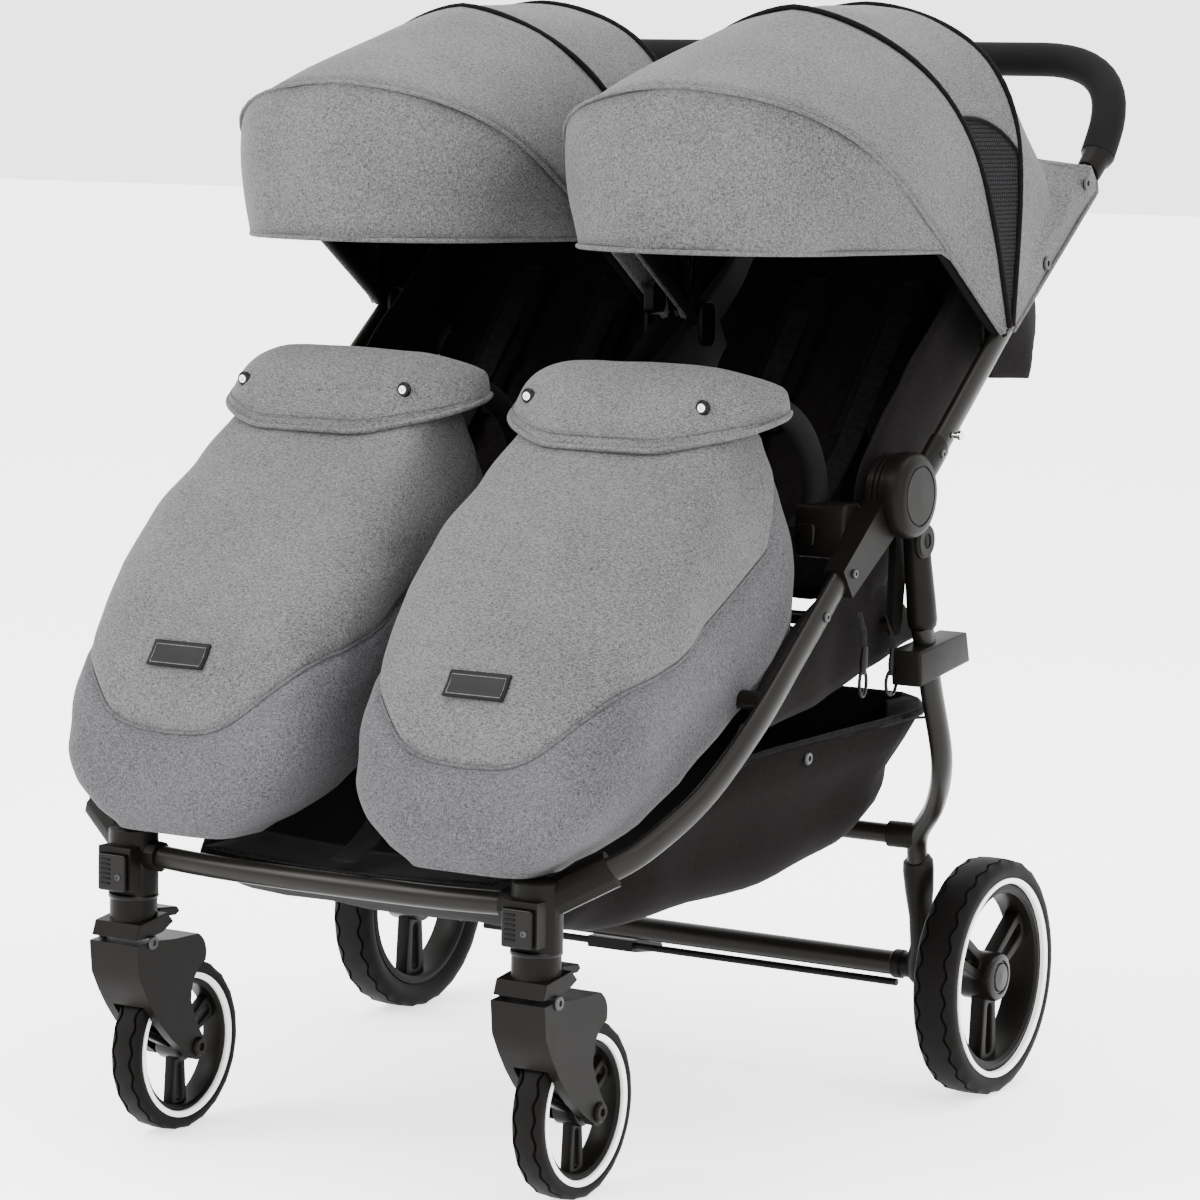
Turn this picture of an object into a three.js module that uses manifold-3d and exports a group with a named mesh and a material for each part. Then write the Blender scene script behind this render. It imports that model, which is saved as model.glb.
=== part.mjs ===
// Side-by-side twin pushchair: folding frame, two swivelling casters, two fixed rear wheels,
// two reclining seats, two folding canopies and two foot muffs over padded bumper bars.
// Millimetres, +Z up, the front faces -Y, left is -X. Origin: on the floor, under the middle.
import * as THREE from "three";
import { mergeVertices } from "three/addons/utils/BufferGeometryUtils.js";
import Module from "manifold-3d";

const wasm = await Module();
wasm.setup();

// ---------- driving dimensions ----------
const FRAME_SHIFT_Y = -84.4;      // moves the mid-wheelbase point so that the whole object is centred
const GAP = 0.4;                // clearance kept between touching pieces

const REAR_WHEEL = { radius: 121, width: 46, x: 354.5, y: 297 };
const FRONT_WHEEL = { radius: 84, width: 32, x: 229, y: -297 };
const STEM_Y = -363;            // swivel axis of each caster, ahead of its wheel
const HUB = { y: 83, z: 631, radius: 38 };
const LEG_PLANE = 348;          // front legs fold inside the handle tubes
const HANDLE_PLANE = 368;
const REAR_LEG_PLANE = 360;
const HANDLE_ANGLE = 39;        // degrees above the horizontal
const TUBE = { thick: 16, deep: 27 };
const REAR_TUBE = { thick: 20, deep: 28 };
const HANDLE_BAR = { y: 555, z: 1054, bend: 100 };
const SEAT_X = 168;             // middle of each seat
const SEAT_HINGE = { y: 105, z: 500, radius: 7 };
const CANOPY_PIVOT = { y: 262, z: 775 };
const CANOPY_X = 195;
const AXLE_TUBE_RADIUS = 12.5;
const BRAKE_AXIS = { y: 297, z: 101 };

// ---------- materials ----------
const plain = (colour, roughness, metalness) => () =>
  new THREE.MeshStandardMaterial({ color: colour, roughness, metalness });
const MATERIAL = {
  tube: plain(0x3a3733, 0.45, 0.7),
  plastic: plain(0x2b2826, 0.6, 0.0),
  foam: plain(0x27282a, 0.85, 0.0),
  tyre: plain(0x201e1d, 0.8, 0.0),
  steel: plain(0xb8b8b6, 0.3, 1.0),
  shell: plain(0x8d8c8f, 0.95, 0.0),
  lining: plain(0x1a1a1b, 0.9, 0.0),
};

// ---------- geometry helpers ----------
const radians = THREE.MathUtils.degToRad;

function toManifold(geometry) {
  const bare = geometry.clone();
  bare.deleteAttribute("normal");
  bare.deleteAttribute("uv");
  const merged = mergeVertices(bare, 1e-4);
  return new wasm.Manifold(new wasm.Mesh({
    numProp: 3,
    vertProperties: merged.attributes.position.array,
    triVerts: new Uint32Array(merged.index.array),
  }));
}

function fromManifold(solid) {
  const mesh = solid.getMesh();
  const geometry = new THREE.BufferGeometry();
  geometry.setAttribute("position", new THREE.BufferAttribute(mesh.vertProperties, 3));
  geometry.setIndex(new THREE.BufferAttribute(mesh.triVerts, 1));
  return geometry;
}

const join = (...pieces) =>
  fromManifold(pieces.map(toManifold).reduce((whole, piece) => whole.add(piece)));
const cut = (body, ...tools) =>
  fromManifold(tools.map(toManifold).reduce((rest, tool) => rest.subtract(tool), toManifold(body)));

// A ring of section points swept along a curve; x of the section runs along X on upright curves.
function sweep(curve, width, depth, steps, sides = 10) {
  const section = new THREE.Shape();
  for (let i = 0; i < sides; i++) {
    const angle = (2 * Math.PI * i) / sides;
    const point = [(width / 2) * Math.cos(angle), (depth / 2) * Math.sin(angle)];
    if (i === 0) section.moveTo(...point);
    else section.lineTo(...point);
  }
  section.closePath();
  return new THREE.ExtrudeGeometry(section, { extrudePath: curve, steps, bevelEnabled: false });
}

const vector = (x, y, z) => new THREE.Vector3(x, y, z);
const spline = (points) => new THREE.CatmullRomCurve3(points.map((p) => vector(...p)));
const straight = (from, to) => new THREE.LineCurve3(vector(...from), vector(...to));

// An outline drawn in (y, z) and given thickness from x0 to x1.
function plate(outline, x0, x1) {
  const shape = outline instanceof THREE.Shape
    ? outline
    : new THREE.Shape(outline.map(([y, z]) => new THREE.Vector2(y, z)));
  const geometry = new THREE.ExtrudeGeometry(shape, { depth: x1 - x0, bevelEnabled: false, curveSegments: 6 });
  const basis = new THREE.Matrix4().makeBasis(vector(0, 1, 0), vector(0, 0, 1), vector(1, 0, 0));
  return geometry.applyMatrix4(basis).translate(x0, 0, 0);
}

const box = (x0, x1, y0, y1, z0, z1) => new THREE.BoxGeometry(x1 - x0, y1 - y0, z1 - z0)
  .translate((x0 + x1) / 2, (y0 + y1) / 2, (z0 + z1) / 2);

// A cylinder along X.
const disc = (radius, x0, x1, y, z, sides = 28) =>
  new THREE.CylinderGeometry(radius, radius, x1 - x0, sides)
    .rotateZ(-Math.PI / 2).translate((x0 + x1) / 2, y, z);

const post = (radius, x, y, z0, z1, sides = 24) =>
  new THREE.CylinderGeometry(radius, radius, z1 - z0, sides)
    .rotateX(Math.PI / 2).translate(x, y, (z0 + z1) / 2);

// A closed profile of [radius, x] points turned about the X axis, with a flat facet facing down.
function turned(profile, sides) {
  const points = [...profile, profile[0]].map(([radius, x]) => new THREE.Vector2(radius, x));
  return new THREE.LatheGeometry(points, sides)
    .rotateY(Math.PI / sides).rotateZ(-Math.PI / 2);
}

// Closes a ring with a fan about its middle, or, for a ring that doubles back on itself, with a strip.
function fanCap(positions, ring, start) {
  const centre = positions.length / 3;
  positions.push(...[0, 1, 2].map((k) => ring.reduce((sum, p) => sum + p[k], 0) / ring.length));
  return ring.map((_, j) => [centre, start + j, start + ((j + 1) % ring.length)]);
}
function stripCap(positions, ring, start) {
  const faces = [];
  for (let j = 0; j < ring.length / 2 - 1; j++) {
    const [a, b] = [start + j, start + j + 1];
    const [c, d] = [start + ring.length - 2 - j, start + ring.length - 1 - j];
    faces.push([a, b, c], [a, c, d]);
  }
  return faces;
}

// A closed skin over a stack of rings that all have the same number of points.
function loft(rings, cap = fanCap) {
  const count = rings[0].length;
  const positions = rings.flat(2);
  const index = [];
  for (let i = 0; i < rings.length - 1; i++) {
    for (let j = 0; j < count; j++) {
      const next = (j + 1) % count;
      const [low, high] = [i * count, (i + 1) * count];
      index.push(low + j, low + next, high + next, low + j, high + next, high + j);
    }
  }
  const last = rings.length - 1;
  for (const [a, b, c] of cap(positions, rings[0], 0)) index.push(a, c, b);
  for (const face of cap(positions, rings[last], last * count)) index.push(...face);
  const geometry = new THREE.BufferGeometry();
  geometry.setAttribute("position", new THREE.Float32BufferAttribute(positions, 3));
  geometry.setIndex(index);
  return geometry;
}

// Turns a geometry inside out where its volume is negative, so that its faces point out.
function facingOut(geometry) {
  const points = geometry.attributes.position;
  const index = geometry.index ? Array.from(geometry.index.array) : [...Array(points.count).keys()];
  const corner = (i) => vector(points.getX(i), points.getY(i), points.getZ(i));
  let volume = 0;
  for (let i = 0; i < index.length; i += 3) {
    const [a, b, c] = [corner(index[i]), corner(index[i + 1]), corner(index[i + 2])];
    volume += a.dot(b.cross(c));
  }
  if (volume < 0) {
    for (let i = 0; i < index.length; i += 3) [index[i + 1], index[i + 2]] = [index[i + 2], index[i + 1]];
    geometry.setIndex(index);
  }
  return geometry;
}

const mirrored = (geometry) => facingOut(geometry.clone().applyMatrix4(new THREE.Matrix4().makeScale(-1, 1, 1)));

// ---------- the assembly ----------
const stroller = new THREE.Group();
stroller.position.y = FRAME_SHIFT_Y;

function add(name, geometry, material) {
  const mesh = new THREE.Mesh(facingOut(geometry), MATERIAL[material]());
  mesh.name = name;
  stroller.add(mesh);
}

// Adds the right-hand piece and its mirror image.
function addPair(name, geometry, material) {
  add(`${name}_right`, geometry, material);
  add(`${name}_left`, mirrored(geometry), material);
}

// A point on the handle tube's line, at a distance from the fold hub.
function alongHandle(distance, x = HANDLE_PLANE) {
  const angle = radians(HANDLE_ANGLE);
  return [x, HUB.y + distance * Math.cos(angle), HUB.z + distance * Math.sin(angle)];
}

// ---------- wheels ----------
function tyre({ radius, width }, sides) {
  const tread = radius / Math.cos(Math.PI / sides);
  const half = width / 2;
  const bead = radius * 0.79;
  return turned([
    [bead, -half * 0.72], [radius * 0.9, -half], [tread - width * 0.16, -half * 0.86], [tread, -half * 0.4],
    [tread, half * 0.4], [tread - width * 0.16, half * 0.86], [radius * 0.9, half], [bead, half * 0.72],
  ], sides);
}

function rim({ radius, width }, hubRadius, boreRadius, sides) {
  const outer = radius * 0.79 * Math.cos(Math.PI / sides) - GAP;
  const inner = radius * 0.7;
  const half = width * 0.34;
  const ring = turned([[inner, -half], [outer, -half], [outer, half], [inner, half]], sides);
  const hub = disc(hubRadius, -width * 0.42, width * 0.42, 0, 0);
  const spokes = [0, 1, 2].map((i) =>
    box(-width * 0.16, width * 0.16, -hubRadius * 0.5, hubRadius * 0.5, hubRadius * 0.5, inner + 2)
      .rotateX(radians(120 * i + 180)));
  return cut(join(ring, hub, ...spokes), disc(boreRadius, -width, width, 0, 0, 16));
}

function addWheel(name, wheel, side, sides, hubRadius, boreRadius) {
  const place = [side * wheel.x, wheel.y, wheel.radius];
  add(`${name}_tyre_${side > 0 ? "right" : "left"}`, tyre(wheel, sides).translate(...place), "tyre");
  add(`${name}_rim_${side > 0 ? "right" : "left"}`,
    rim(wheel, hubRadius, boreRadius, sides).translate(...place), "plastic");
}

for (const side of [1, -1]) {
  addWheel("rear", REAR_WHEEL, side, 32, 25, 6.5);
  addWheel("front", FRONT_WHEEL, side, 28, 16, 4.5);
}

// ---------- tube routes ----------
const legCurve = spline([
  [LEG_PLANE, -26, 555], [LEG_PLANE, -98, 498], [LEG_PLANE, -178, 437],
  [334, -250, 377], [311, -313, 336], [287, -341.5, 317],
]);
const rearLegCurve = spline([
  [REAR_LEG_PLANE, 128, 499], [REAR_LEG_PLANE, 151, 434], [REAR_LEG_PLANE - 1, 180, 360],
  [334, 218, 308], [303, 243, 268], [300, 250, 232],
]);

// The room that a socket leaves for the tube it holds.
const legRoom = () => sweep(legCurve, TUBE.thick + 2 * GAP, TUBE.deep + 2 * GAP, 18);
const rearLegRoom = () => sweep(rearLegCurve, REAR_TUBE.thick + 2 * GAP, REAR_TUBE.deep + 2 * GAP, 16);

// ---------- casters ----------
// Each caster: a stem with its yoke, a sprung fork, a swivel lock lever and a release button.
const FORK_HALF = 29;
const WHEEL_SLOT_HALF = 18.5;
const AXLE_Z = FRONT_WHEEL.radius;

function casterStem(x) {
  const yoke = plate([
    [-393, 204], [-388, 218], [-345, 224], [-335, 214], [-352, 206], [-371, 203.5],
  ], x - FORK_HALF + 2, x + FORK_HALF - 2);
  return join(post(23, x, STEM_Y, 214, 243.5), yoke);
}

function casterFork(x) {
  const outline = new THREE.Shape();
  outline.moveTo(-394, 199);
  outline.lineTo(-371, 200.5);
  outline.lineTo(-338, 197);
  outline.lineTo(-297, 196);
  outline.quadraticCurveTo(-281, 186, -286, 168);
  outline.quadraticCurveTo(-309, 160, -309, 131);
  outline.quadraticCurveTo(-300, 104, -284, AXLE_Z + 2);
  outline.absarc(FRONT_WHEEL.y, AXLE_Z, 13, 0, radians(-140), true);
  outline.quadraticCurveTo(-360, 105, -391, 168);
  outline.closePath();
  const arm = plate(outline, x - FORK_HALF, x + FORK_HALF);
  const slot = disc(FRONT_WHEEL.radius + 5, x - WHEEL_SLOT_HALF, x + WHEEL_SLOT_HALF, FRONT_WHEEL.y, AXLE_Z, 36);
  const axle = disc(4, x - WHEEL_SLOT_HALF - 2, x + WHEEL_SLOT_HALF + 2, FRONT_WHEEL.y, AXLE_Z, 12);
  return join(cut(arm, slot), axle);
}

const swivelLock = (x) => plate([
  [-339.3, 226], [-310, 223], [-306, 218], [-312, 214.5], [-333, 216], [-339.3, 220],
], x - 13, x + 13);

function casterHousing(x) {
  const barrel = post(24, x, STEM_Y, 244, 305);
  const boss = box(x - 19, x + 19, -393, -365, 250, 292);
  const pocket = box(x - 16.4, x + 16.4, -400, -380, 240, 286);
  const legArm = sweep(straight([x, STEM_Y, 284], [x + 62, -336, 320]), 32, 36, 1);
  const barArm = sweep(straight([x, STEM_Y, 282], [x - 34, STEM_Y - 1, 282]), 30, 30, 1);
  return cut(join(barrel, boss, legArm, barArm), pocket, legRoom());
}

const releaseButton = (x) => box(x - 16, x + 16, -398, -384.3, 250, 285.5);

addPair("caster_housing", casterHousing(FRONT_WHEEL.x), "plastic");
addPair("caster_stem", casterStem(FRONT_WHEEL.x), "plastic");
addPair("caster_fork", casterFork(FRONT_WHEEL.x), "plastic");
addPair("swivel_lock", swivelLock(FRONT_WHEEL.x), "plastic");
addPair("release_button", releaseButton(FRONT_WHEEL.x), "plastic");

// ---------- lower frame ----------
addPair("front_leg", sweep(legCurve, TUBE.thick, TUBE.deep, 18), "tube");

const crossbarEnd = FRONT_WHEEL.x - 34 - 3 * GAP;
const crossbarCurve = spline([
  [-crossbarEnd, STEM_Y - 1, 282], [-120, STEM_Y - 9, 281], [0, STEM_Y - 13, 281],
  [120, STEM_Y - 9, 281], [crossbarEnd, STEM_Y - 1, 282],
]);
add("front_crossbar", sweep(crossbarCurve, 22, 22, 14), "tube");

function hubBase() {
  const inner = LEG_PLANE - 11;
  const round = disc(HUB.radius, inner, 356.3, HUB.y, HUB.z);
  const sleeve = plate([
    [60, 641], [-35, 567], [-16, 540], [84, 602],
  ], inner, 359);
  const coverSeat = disc(HUB.radius + 1, 356.3, 370, HUB.y, HUB.z, 36);
  const lug = plate([
    [75, 640], [104, 600], [98, 588], [96, 505], [100, 491], [110, 491], [115, 505],
    [124, 572], [131, 587], [120, 603],
  ], inner, 344.4);
  return cut(join(round, sleeve, lug), coverSeat, legRoom());
}
addPair("hub_base", hubBase(), "plastic");

add("seat_crossbar", disc(9, -LEG_PLANE + 9, LEG_PLANE - 9, -150, 455, 12), "tube");
add("centre_bracket", plate([
  [16, 636], [46, 636], [60, 560], [96, 516], [90, 486], [-60, 452], [-139, 446], [-139, 464], [-20, 500],
], -10, 10), "plastic");

// ---------- handle frame ----------
function hubCover() {
  const face = disc(HUB.radius, 357, 378, HUB.y, HUB.z, 32);
  const rimBevel = new THREE.CylinderGeometry(HUB.radius - 7, HUB.radius, 6, 32)
    .rotateZ(-Math.PI / 2).translate(381, HUB.y, HUB.z);
  return join(face, rimBevel);
}
addPair("hub_cover", hubCover(), "plastic");

const barBend = HANDLE_BAR.bend;
const gripStart = vector(...alongHandle(495));
const barMiddle = vector(0, HANDLE_BAR.y, HANDLE_BAR.z);
const cornerPoint = vector(HANDLE_PLANE, HANDLE_BAR.y, HANDLE_BAR.z);
const riseDirection = cornerPoint.clone().sub(gripStart).normalize();
addPair("handle_tube", sweep(
  new THREE.LineCurve3(vector(...alongHandle(HUB.radius + 1)), vector(...alongHandle(489))),
  TUBE.thick, TUBE.deep, 2), "tube");

function gripCurve() {
  const path = new THREE.CurvePath();
  const half = (side) => {
    const flip = (v) => vector(side * v.x, v.y, v.z);
    const bendStart = cornerPoint.clone().addScaledVector(riseDirection, -barBend);
    const bendEnd = cornerPoint.clone().add(vector(-barBend, 0, 0));
    return { start: flip(gripStart), bendStart: flip(bendStart), corner: flip(cornerPoint), bendEnd: flip(bendEnd) };
  };
  const [left, right] = [half(-1), half(1)];
  path.add(new THREE.LineCurve3(left.start, left.bendStart));
  path.add(new THREE.QuadraticBezierCurve3(left.bendStart, left.corner, left.bendEnd));
  path.add(new THREE.LineCurve3(left.bendEnd, barMiddle));
  path.add(new THREE.LineCurve3(barMiddle, right.bendEnd));
  path.add(new THREE.QuadraticBezierCurve3(right.bendEnd, right.corner, right.bendStart));
  path.add(new THREE.LineCurve3(right.bendStart, right.start));
  return path;
}
add("handle_grip", sweep(gripCurve(), 36, 36, 44, 12), "foam");

function storagePin() {
  const [, y, z] = alongHandle(87);
  const face = HANDLE_PLANE + TUBE.thick / 2 + GAP;
  return join(disc(3.5, face, 385, y, z, 12), disc(5, 383, 387, y, z, 12));
}
addPair("storage_pin", storagePin(), "steel");

// ---------- rear frame ----------
addPair("rear_leg", sweep(rearLegCurve, REAR_TUBE.thick, REAR_TUBE.deep, 16), "tube");

const sleeveOutline = [[100, 577], [98, 590], [106, 600], [120, 600], [130, 588], [132, 560], [145, 499], [112, 496.5]];
addPair("rear_leg_sleeve", cut(
  plate(sleeveOutline, REAR_LEG_PLANE - 15, REAR_LEG_PLANE + 13), rearLegRoom()), "plastic");

const AXLE_BRACKET_IN = 255;
const axleZ = REAR_WHEEL.radius;
add("rear_axle_tube", disc(AXLE_TUBE_RADIUS, -AXLE_BRACKET_IN, AXLE_BRACKET_IN, REAR_WHEEL.y, axleZ, 20), "tube");

function axleBracket() {
  const wheelFace = REAR_WHEEL.x - REAR_WHEEL.width / 2 - 4;
  const socket = disc(18, AXLE_BRACKET_IN + GAP, 300, REAR_WHEEL.y, axleZ, 24);
  const cheek = plate([
    [230, 242.5], [270, 242.5], [290, 190], [318, 140], [320, 112], [306, 98], [284, 98], [270, 120], [246, 180],
  ], 284, wheelFace);
  const axle = disc(6, wheelFace - 2, REAR_WHEEL.x + 12, REAR_WHEEL.y, axleZ, 16);
  return cut(join(socket, cheek, axle), rearLegRoom());
}
addPair("axle_bracket", axleBracket(), "plastic");

add("rear_crossbar", disc(10, -286, 286, 238, 268, 16), "tube");

const brakeRod = disc(4, -AXLE_BRACKET_IN, AXLE_BRACKET_IN, BRAKE_AXIS.y, BRAKE_AXIS.z, 10);
const brakePedal = plate([[290, 107], [304, 107], [352, 98], [356, 90], [348, 86], [300, 93], [290, 95]], -118, -62);
add("brake_pedal", join(brakeRod, brakePedal), "plastic");

// The clamp round the right rear leg carries the storage catch; it wraps three sides of the tube.
const clampBody = box(REAR_LEG_PLANE - 19, REAR_LEG_PLANE + 17, 118, 178, 446, 482);
add("storage_catch", cut(clampBody, rearLegRoom(), box(340, 380, 165, 180, 440, 490)), "plastic");

// ---------- seats ----------
const SEAT_HALF = 140;
const BACK_HALF = 155;
const BACK_ANGLE = 50;

function slab(x0, x1, along, thick, y0, z0, angle) {
  const [c, s] = [Math.cos(radians(angle)), Math.sin(radians(angle))];
  const corner = (u, v) => [y0 + u * c - v * s, z0 + u * s + v * c];
  const [from, to] = along;
  return plate([corner(from, -thick / 2), corner(to, -thick / 2), corner(to, thick / 2), corner(from, thick / 2)], x0, x1);
}

addPair("seat", box(SEAT_X - SEAT_HALF, SEAT_X + SEAT_HALF, -200, 86, 467, 497), "lining");
addPair("backrest", slab(SEAT_X - BACK_HALF + 12, SEAT_X + BACK_HALF, [22, 480], 30,
  SEAT_HINGE.y, SEAT_HINGE.z, BACK_ANGLE), "lining");
add("seat_hinge_bar", disc(SEAT_HINGE.radius, -336.4, 336.4, SEAT_HINGE.y, SEAT_HINGE.z, 12), "tube");

// ---------- bumper bars ----------
const BAR_HALF = 129;
function bumperBar(x) {
  const curve = spline([
    [x - BAR_HALF + 2, 22, 612], [x - BAR_HALF, 14, 660], [x - BAR_HALF + 2, -28, 708], [x - BAR_HALF + 28, -76, 727],
    [x, -88, 728],
    [x + BAR_HALF - 28, -76, 727], [x + BAR_HALF - 2, -28, 708], [x + BAR_HALF, 14, 660], [x + BAR_HALF - 2, 22, 612],
  ]);
  const bar = sweep(curve, 24, 24, 32, 10);
  const outerLug = box(x + BAR_HALF - 14, LEG_PLANE - 11 - GAP, 6, 42, 572, 624);
  const innerLug = box(10 + GAP, x - BAR_HALF + 14, 6, 42, 572, 624);
  return join(bar, outerLug, innerLug);
}
addPair("bumper_bar", bumperBar(SEAT_X), "foam");

// ---------- foot muffs ----------
// Level sections from the toe up: height, front edge, back edge and half width.
const MUFF_LEVELS = [
  [311, -390, -316, 62], [328, -401, -290, 86], [351, -404, -258, 116], [385, -402, -214, 134],
  [440, -388, -112, 144], [480, -366, -30, 149], [550, -316, -12, 150], [600, -268, -14, 150],
  [650, -206, -24, 150], [700, -140, -36, 150], [736, -116, -50, 150], [752, -104, -62, 146],
];
function muffRing([z, front, back, half], x, inset, backExtra) {
  const ring = [];
  const corner = Math.min(46, (back - front) * 0.45);
  const [yFront, yBack, w] = [front + inset, back + backExtra, half - inset];
  for (const [sx, from] of [[1, 0], [-1, 90]]) {
    for (let i = 0; i <= 4; i++) {
      const angle = radians(from + 22.5 * i);
      ring.push([x + sx * (w - corner) + corner * Math.cos(angle),
        yFront + corner - corner * Math.sin(angle), z]);
    }
  }
  ring.push([x - w, yBack, z], [x + w, yBack, z]);
  return ring;
}
function muff(x) {
  const outer = loft(MUFF_LEVELS.map((level) => muffRing(level, x, 0, 0)));
  const wall = 5;
  const inner = MUFF_LEVELS.slice(1, -1).map((level) => muffRing(level, x, wall, 60));
  inner[0] = inner[0].map(([px, py, pz]) => [px, py, pz + 2]);
  const top = inner[inner.length - 1].map(([px, py]) => [px, py, 746]);
  const barNotch = box(x - 160, x + 160, -165, 0, 443, 467);
  return cut(facingOut(outer), facingOut(loft([...inner, top])), barNotch);
}
addPair("foot_muff", muff(SEAT_X), "shell");

// ---------- canopies ----------
// Each bow is a rounded hoop turned about the canopy pivot: angle, half width, reach and two powers.
const BOWS = {
  front: { angle: 145.6, half: 181, reach: 431, widthPower: 1.17, reachPower: 0.26 },
  middle: { angle: 110.6, half: 187, reach: 345, widthPower: 1.34, reachPower: 0.445 },
  rear: { angle: 84.5, half: 187, reach: 331, widthPower: 1.2, reachPower: 0.38 },
  back: { angle: 48, half: 181, reach: 268, widthPower: 1.0, reachPower: 0.38 },
};
const BOW_POINTS = 13;
const CANOPY_WALL = 6;
const HEM_HEIGHT = 90;          // the visor's hem, above the pivot
const INNERMOST = 45;           // the fabric starts this far from the pivot
const TUBE_CLEARANCE = 16;      // how far the fabric stays above the handle tube's middle

// Across a bow: offset from the canopy's middle and distance from the pivot, evenly spaced.
function bowProfile(bow) {
  const fine = [];
  const first = Math.asin((INNERMOST / bow.reach) ** (1 / bow.reachPower));
  for (let i = 0; i <= 400; i++) {
    const ease = i / 400;
    const sine = Math.sin(first) + (1 - Math.sin(first)) * (1 - Math.abs(1 - 2 * ease)) ** 3;
    const cosine = Math.sign(0.5 - ease) * Math.sqrt(Math.max(0, 1 - sine * sine));
    fine.push([Math.sign(cosine) * bow.half * Math.abs(cosine) ** bow.widthPower,
      bow.reach * sine ** bow.reachPower]);
  }
  const lengths = [0];
  for (let i = 1; i < fine.length; i++) {
    lengths.push(lengths[i - 1] + Math.hypot(fine[i][0] - fine[i - 1][0], fine[i][1] - fine[i - 1][1]));
  }
  const total = lengths[lengths.length - 1];
  return Array.from({ length: BOW_POINTS }, (_, k) => {
    const target = (total * k) / (BOW_POINTS - 1);
    const at = Math.max(1, lengths.findIndex((length) => length >= target - 1e-6));
    const part = (target - lengths[at - 1]) / Math.max(1e-9, lengths[at] - lengths[at - 1]);
    return [0, 1].map((c) => fine[at - 1][c] + (fine[at][c] - fine[at - 1][c]) * part);
  });
}

// Sections across the canopy: each is a list of { offset, reach, angle }.
function bowSection(from, to, share, trim = 0) {
  const [a, b] = [bowProfile(from), bowProfile(to)];
  return a.map(([offset, reach], k) => {
    const far = reach + (b[k][1] - reach) * share;
    const overTube = HANDLE_ANGLE + THREE.MathUtils.radToDeg(Math.asin(TUBE_CLEARANCE / far));
    return {
      offset: offset + (b[k][0] - offset) * share,
      reach: far,
      angle: Math.max(overTube, from.angle + (to.angle - from.angle) * share + trim),
    };
  });
}

// The visor drops from the front bow to a level hem.
function visorSection(share) {
  return bowSection(BOWS.front, BOWS.front, 0).map(({ offset, reach, angle }) => {
    const hemReach = reach * (1 - 0.095 * share);
    const hemAngle = 180 - THREE.MathUtils.radToDeg(Math.asin(Math.min(0.9, HEM_HEIGHT / hemReach)));
    return { offset, reach: hemReach, angle: angle + Math.max(0.6, hemAngle - angle) * share };
  });
}

function canopySkin(sections, x) {
  const place = ({ offset, reach, angle }, inset) => [
    x + offset * (1 - inset / 185),
    CANOPY_PIVOT.y + (reach - inset) * Math.cos(radians(angle)),
    CANOPY_PIVOT.z + (reach - inset) * Math.sin(radians(angle)),
  ];
  const rings = sections.map((section) => [
    ...section.map((point) => place(point, 0)),
    ...section.map((point) => place(point, CANOPY_WALL)).reverse(),
  ]);
  return loft(rings, stripCap);
}

const SEAM_TRIM = 0.5;          // degrees left free on each side of a shared bow
addPair("canopy_front", canopySkin([
  bowSection(BOWS.middle, BOWS.front, 0, SEAM_TRIM), bowSection(BOWS.middle, BOWS.front, 1),
  visorSection(0.5), visorSection(1),
], CANOPY_X), "shell");
addPair("canopy_middle", canopySkin([
  bowSection(BOWS.rear, BOWS.middle, 0, SEAM_TRIM), bowSection(BOWS.rear, BOWS.middle, 1, -SEAM_TRIM),
], CANOPY_X), "shell");
addPair("canopy_rear", canopySkin([
  bowSection(BOWS.back, BOWS.rear, 0), bowSection(BOWS.back, BOWS.rear, 0.5),
  bowSection(BOWS.back, BOWS.rear, 1, -SEAM_TRIM),
], CANOPY_X), "shell");

// ---------- basket and footrest ----------
// Stations from front to back: distance, floor height, rim height and half width.
const BASKET_STATIONS = [
  [-322, 262, 276, 180], [-250, 226, 282, 222], [-180, 210, 345, 262], [-90, 206, 390, 284],
  [40, 212, 399, 288], [150, 240, 400, 284], [230, 287, 402, 272], [300, 340, 404, 258],
];
function basketRing([y, floor, top, half], inset, extra) {
  const round = Math.min(70, (top - floor) * 0.9);
  const [w, low] = [half - inset, floor + inset];
  const ring = [[w, y, top + extra]];
  for (let i = 0; i <= 3; i++) {
    const angle = radians(30 * i);
    ring.push([w - round + round * Math.cos(angle), y, low + round - round * Math.sin(angle)]);
  }
  return [...ring, ...ring.map(([x, , z]) => [-x, y, z]).reverse()];
}
function basket() {
  const wall = 4;
  const outer = loft(BASKET_STATIONS.map((station) => basketRing(station, 0, 0)));
  const inside = BASKET_STATIONS.slice(1).map((station) => basketRing(station, wall, 12));
  const last = inside.length - 1;
  inside[last] = inside[last].map(([x, y, z]) => [x, y - wall, z]);
  return cut(facingOut(outer), facingOut(loft(inside)));
}
add("basket", basket(), "lining");
add("footrest_panel", box(-165, 165, -338, -236, 289, 294), "lining");

export default stroller;
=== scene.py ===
"""Looks of the side-by-side twin pushchair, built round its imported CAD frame.

Lengths are in millimetres in the CAD source's own coordinates; at() takes them to the row frame.
"""

from math import asin, copysign, cos, exp, log, pi, radians, sin

import bmesh
import bpy
import numpy as np
from mathutils import Matrix, Vector, noise


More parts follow.
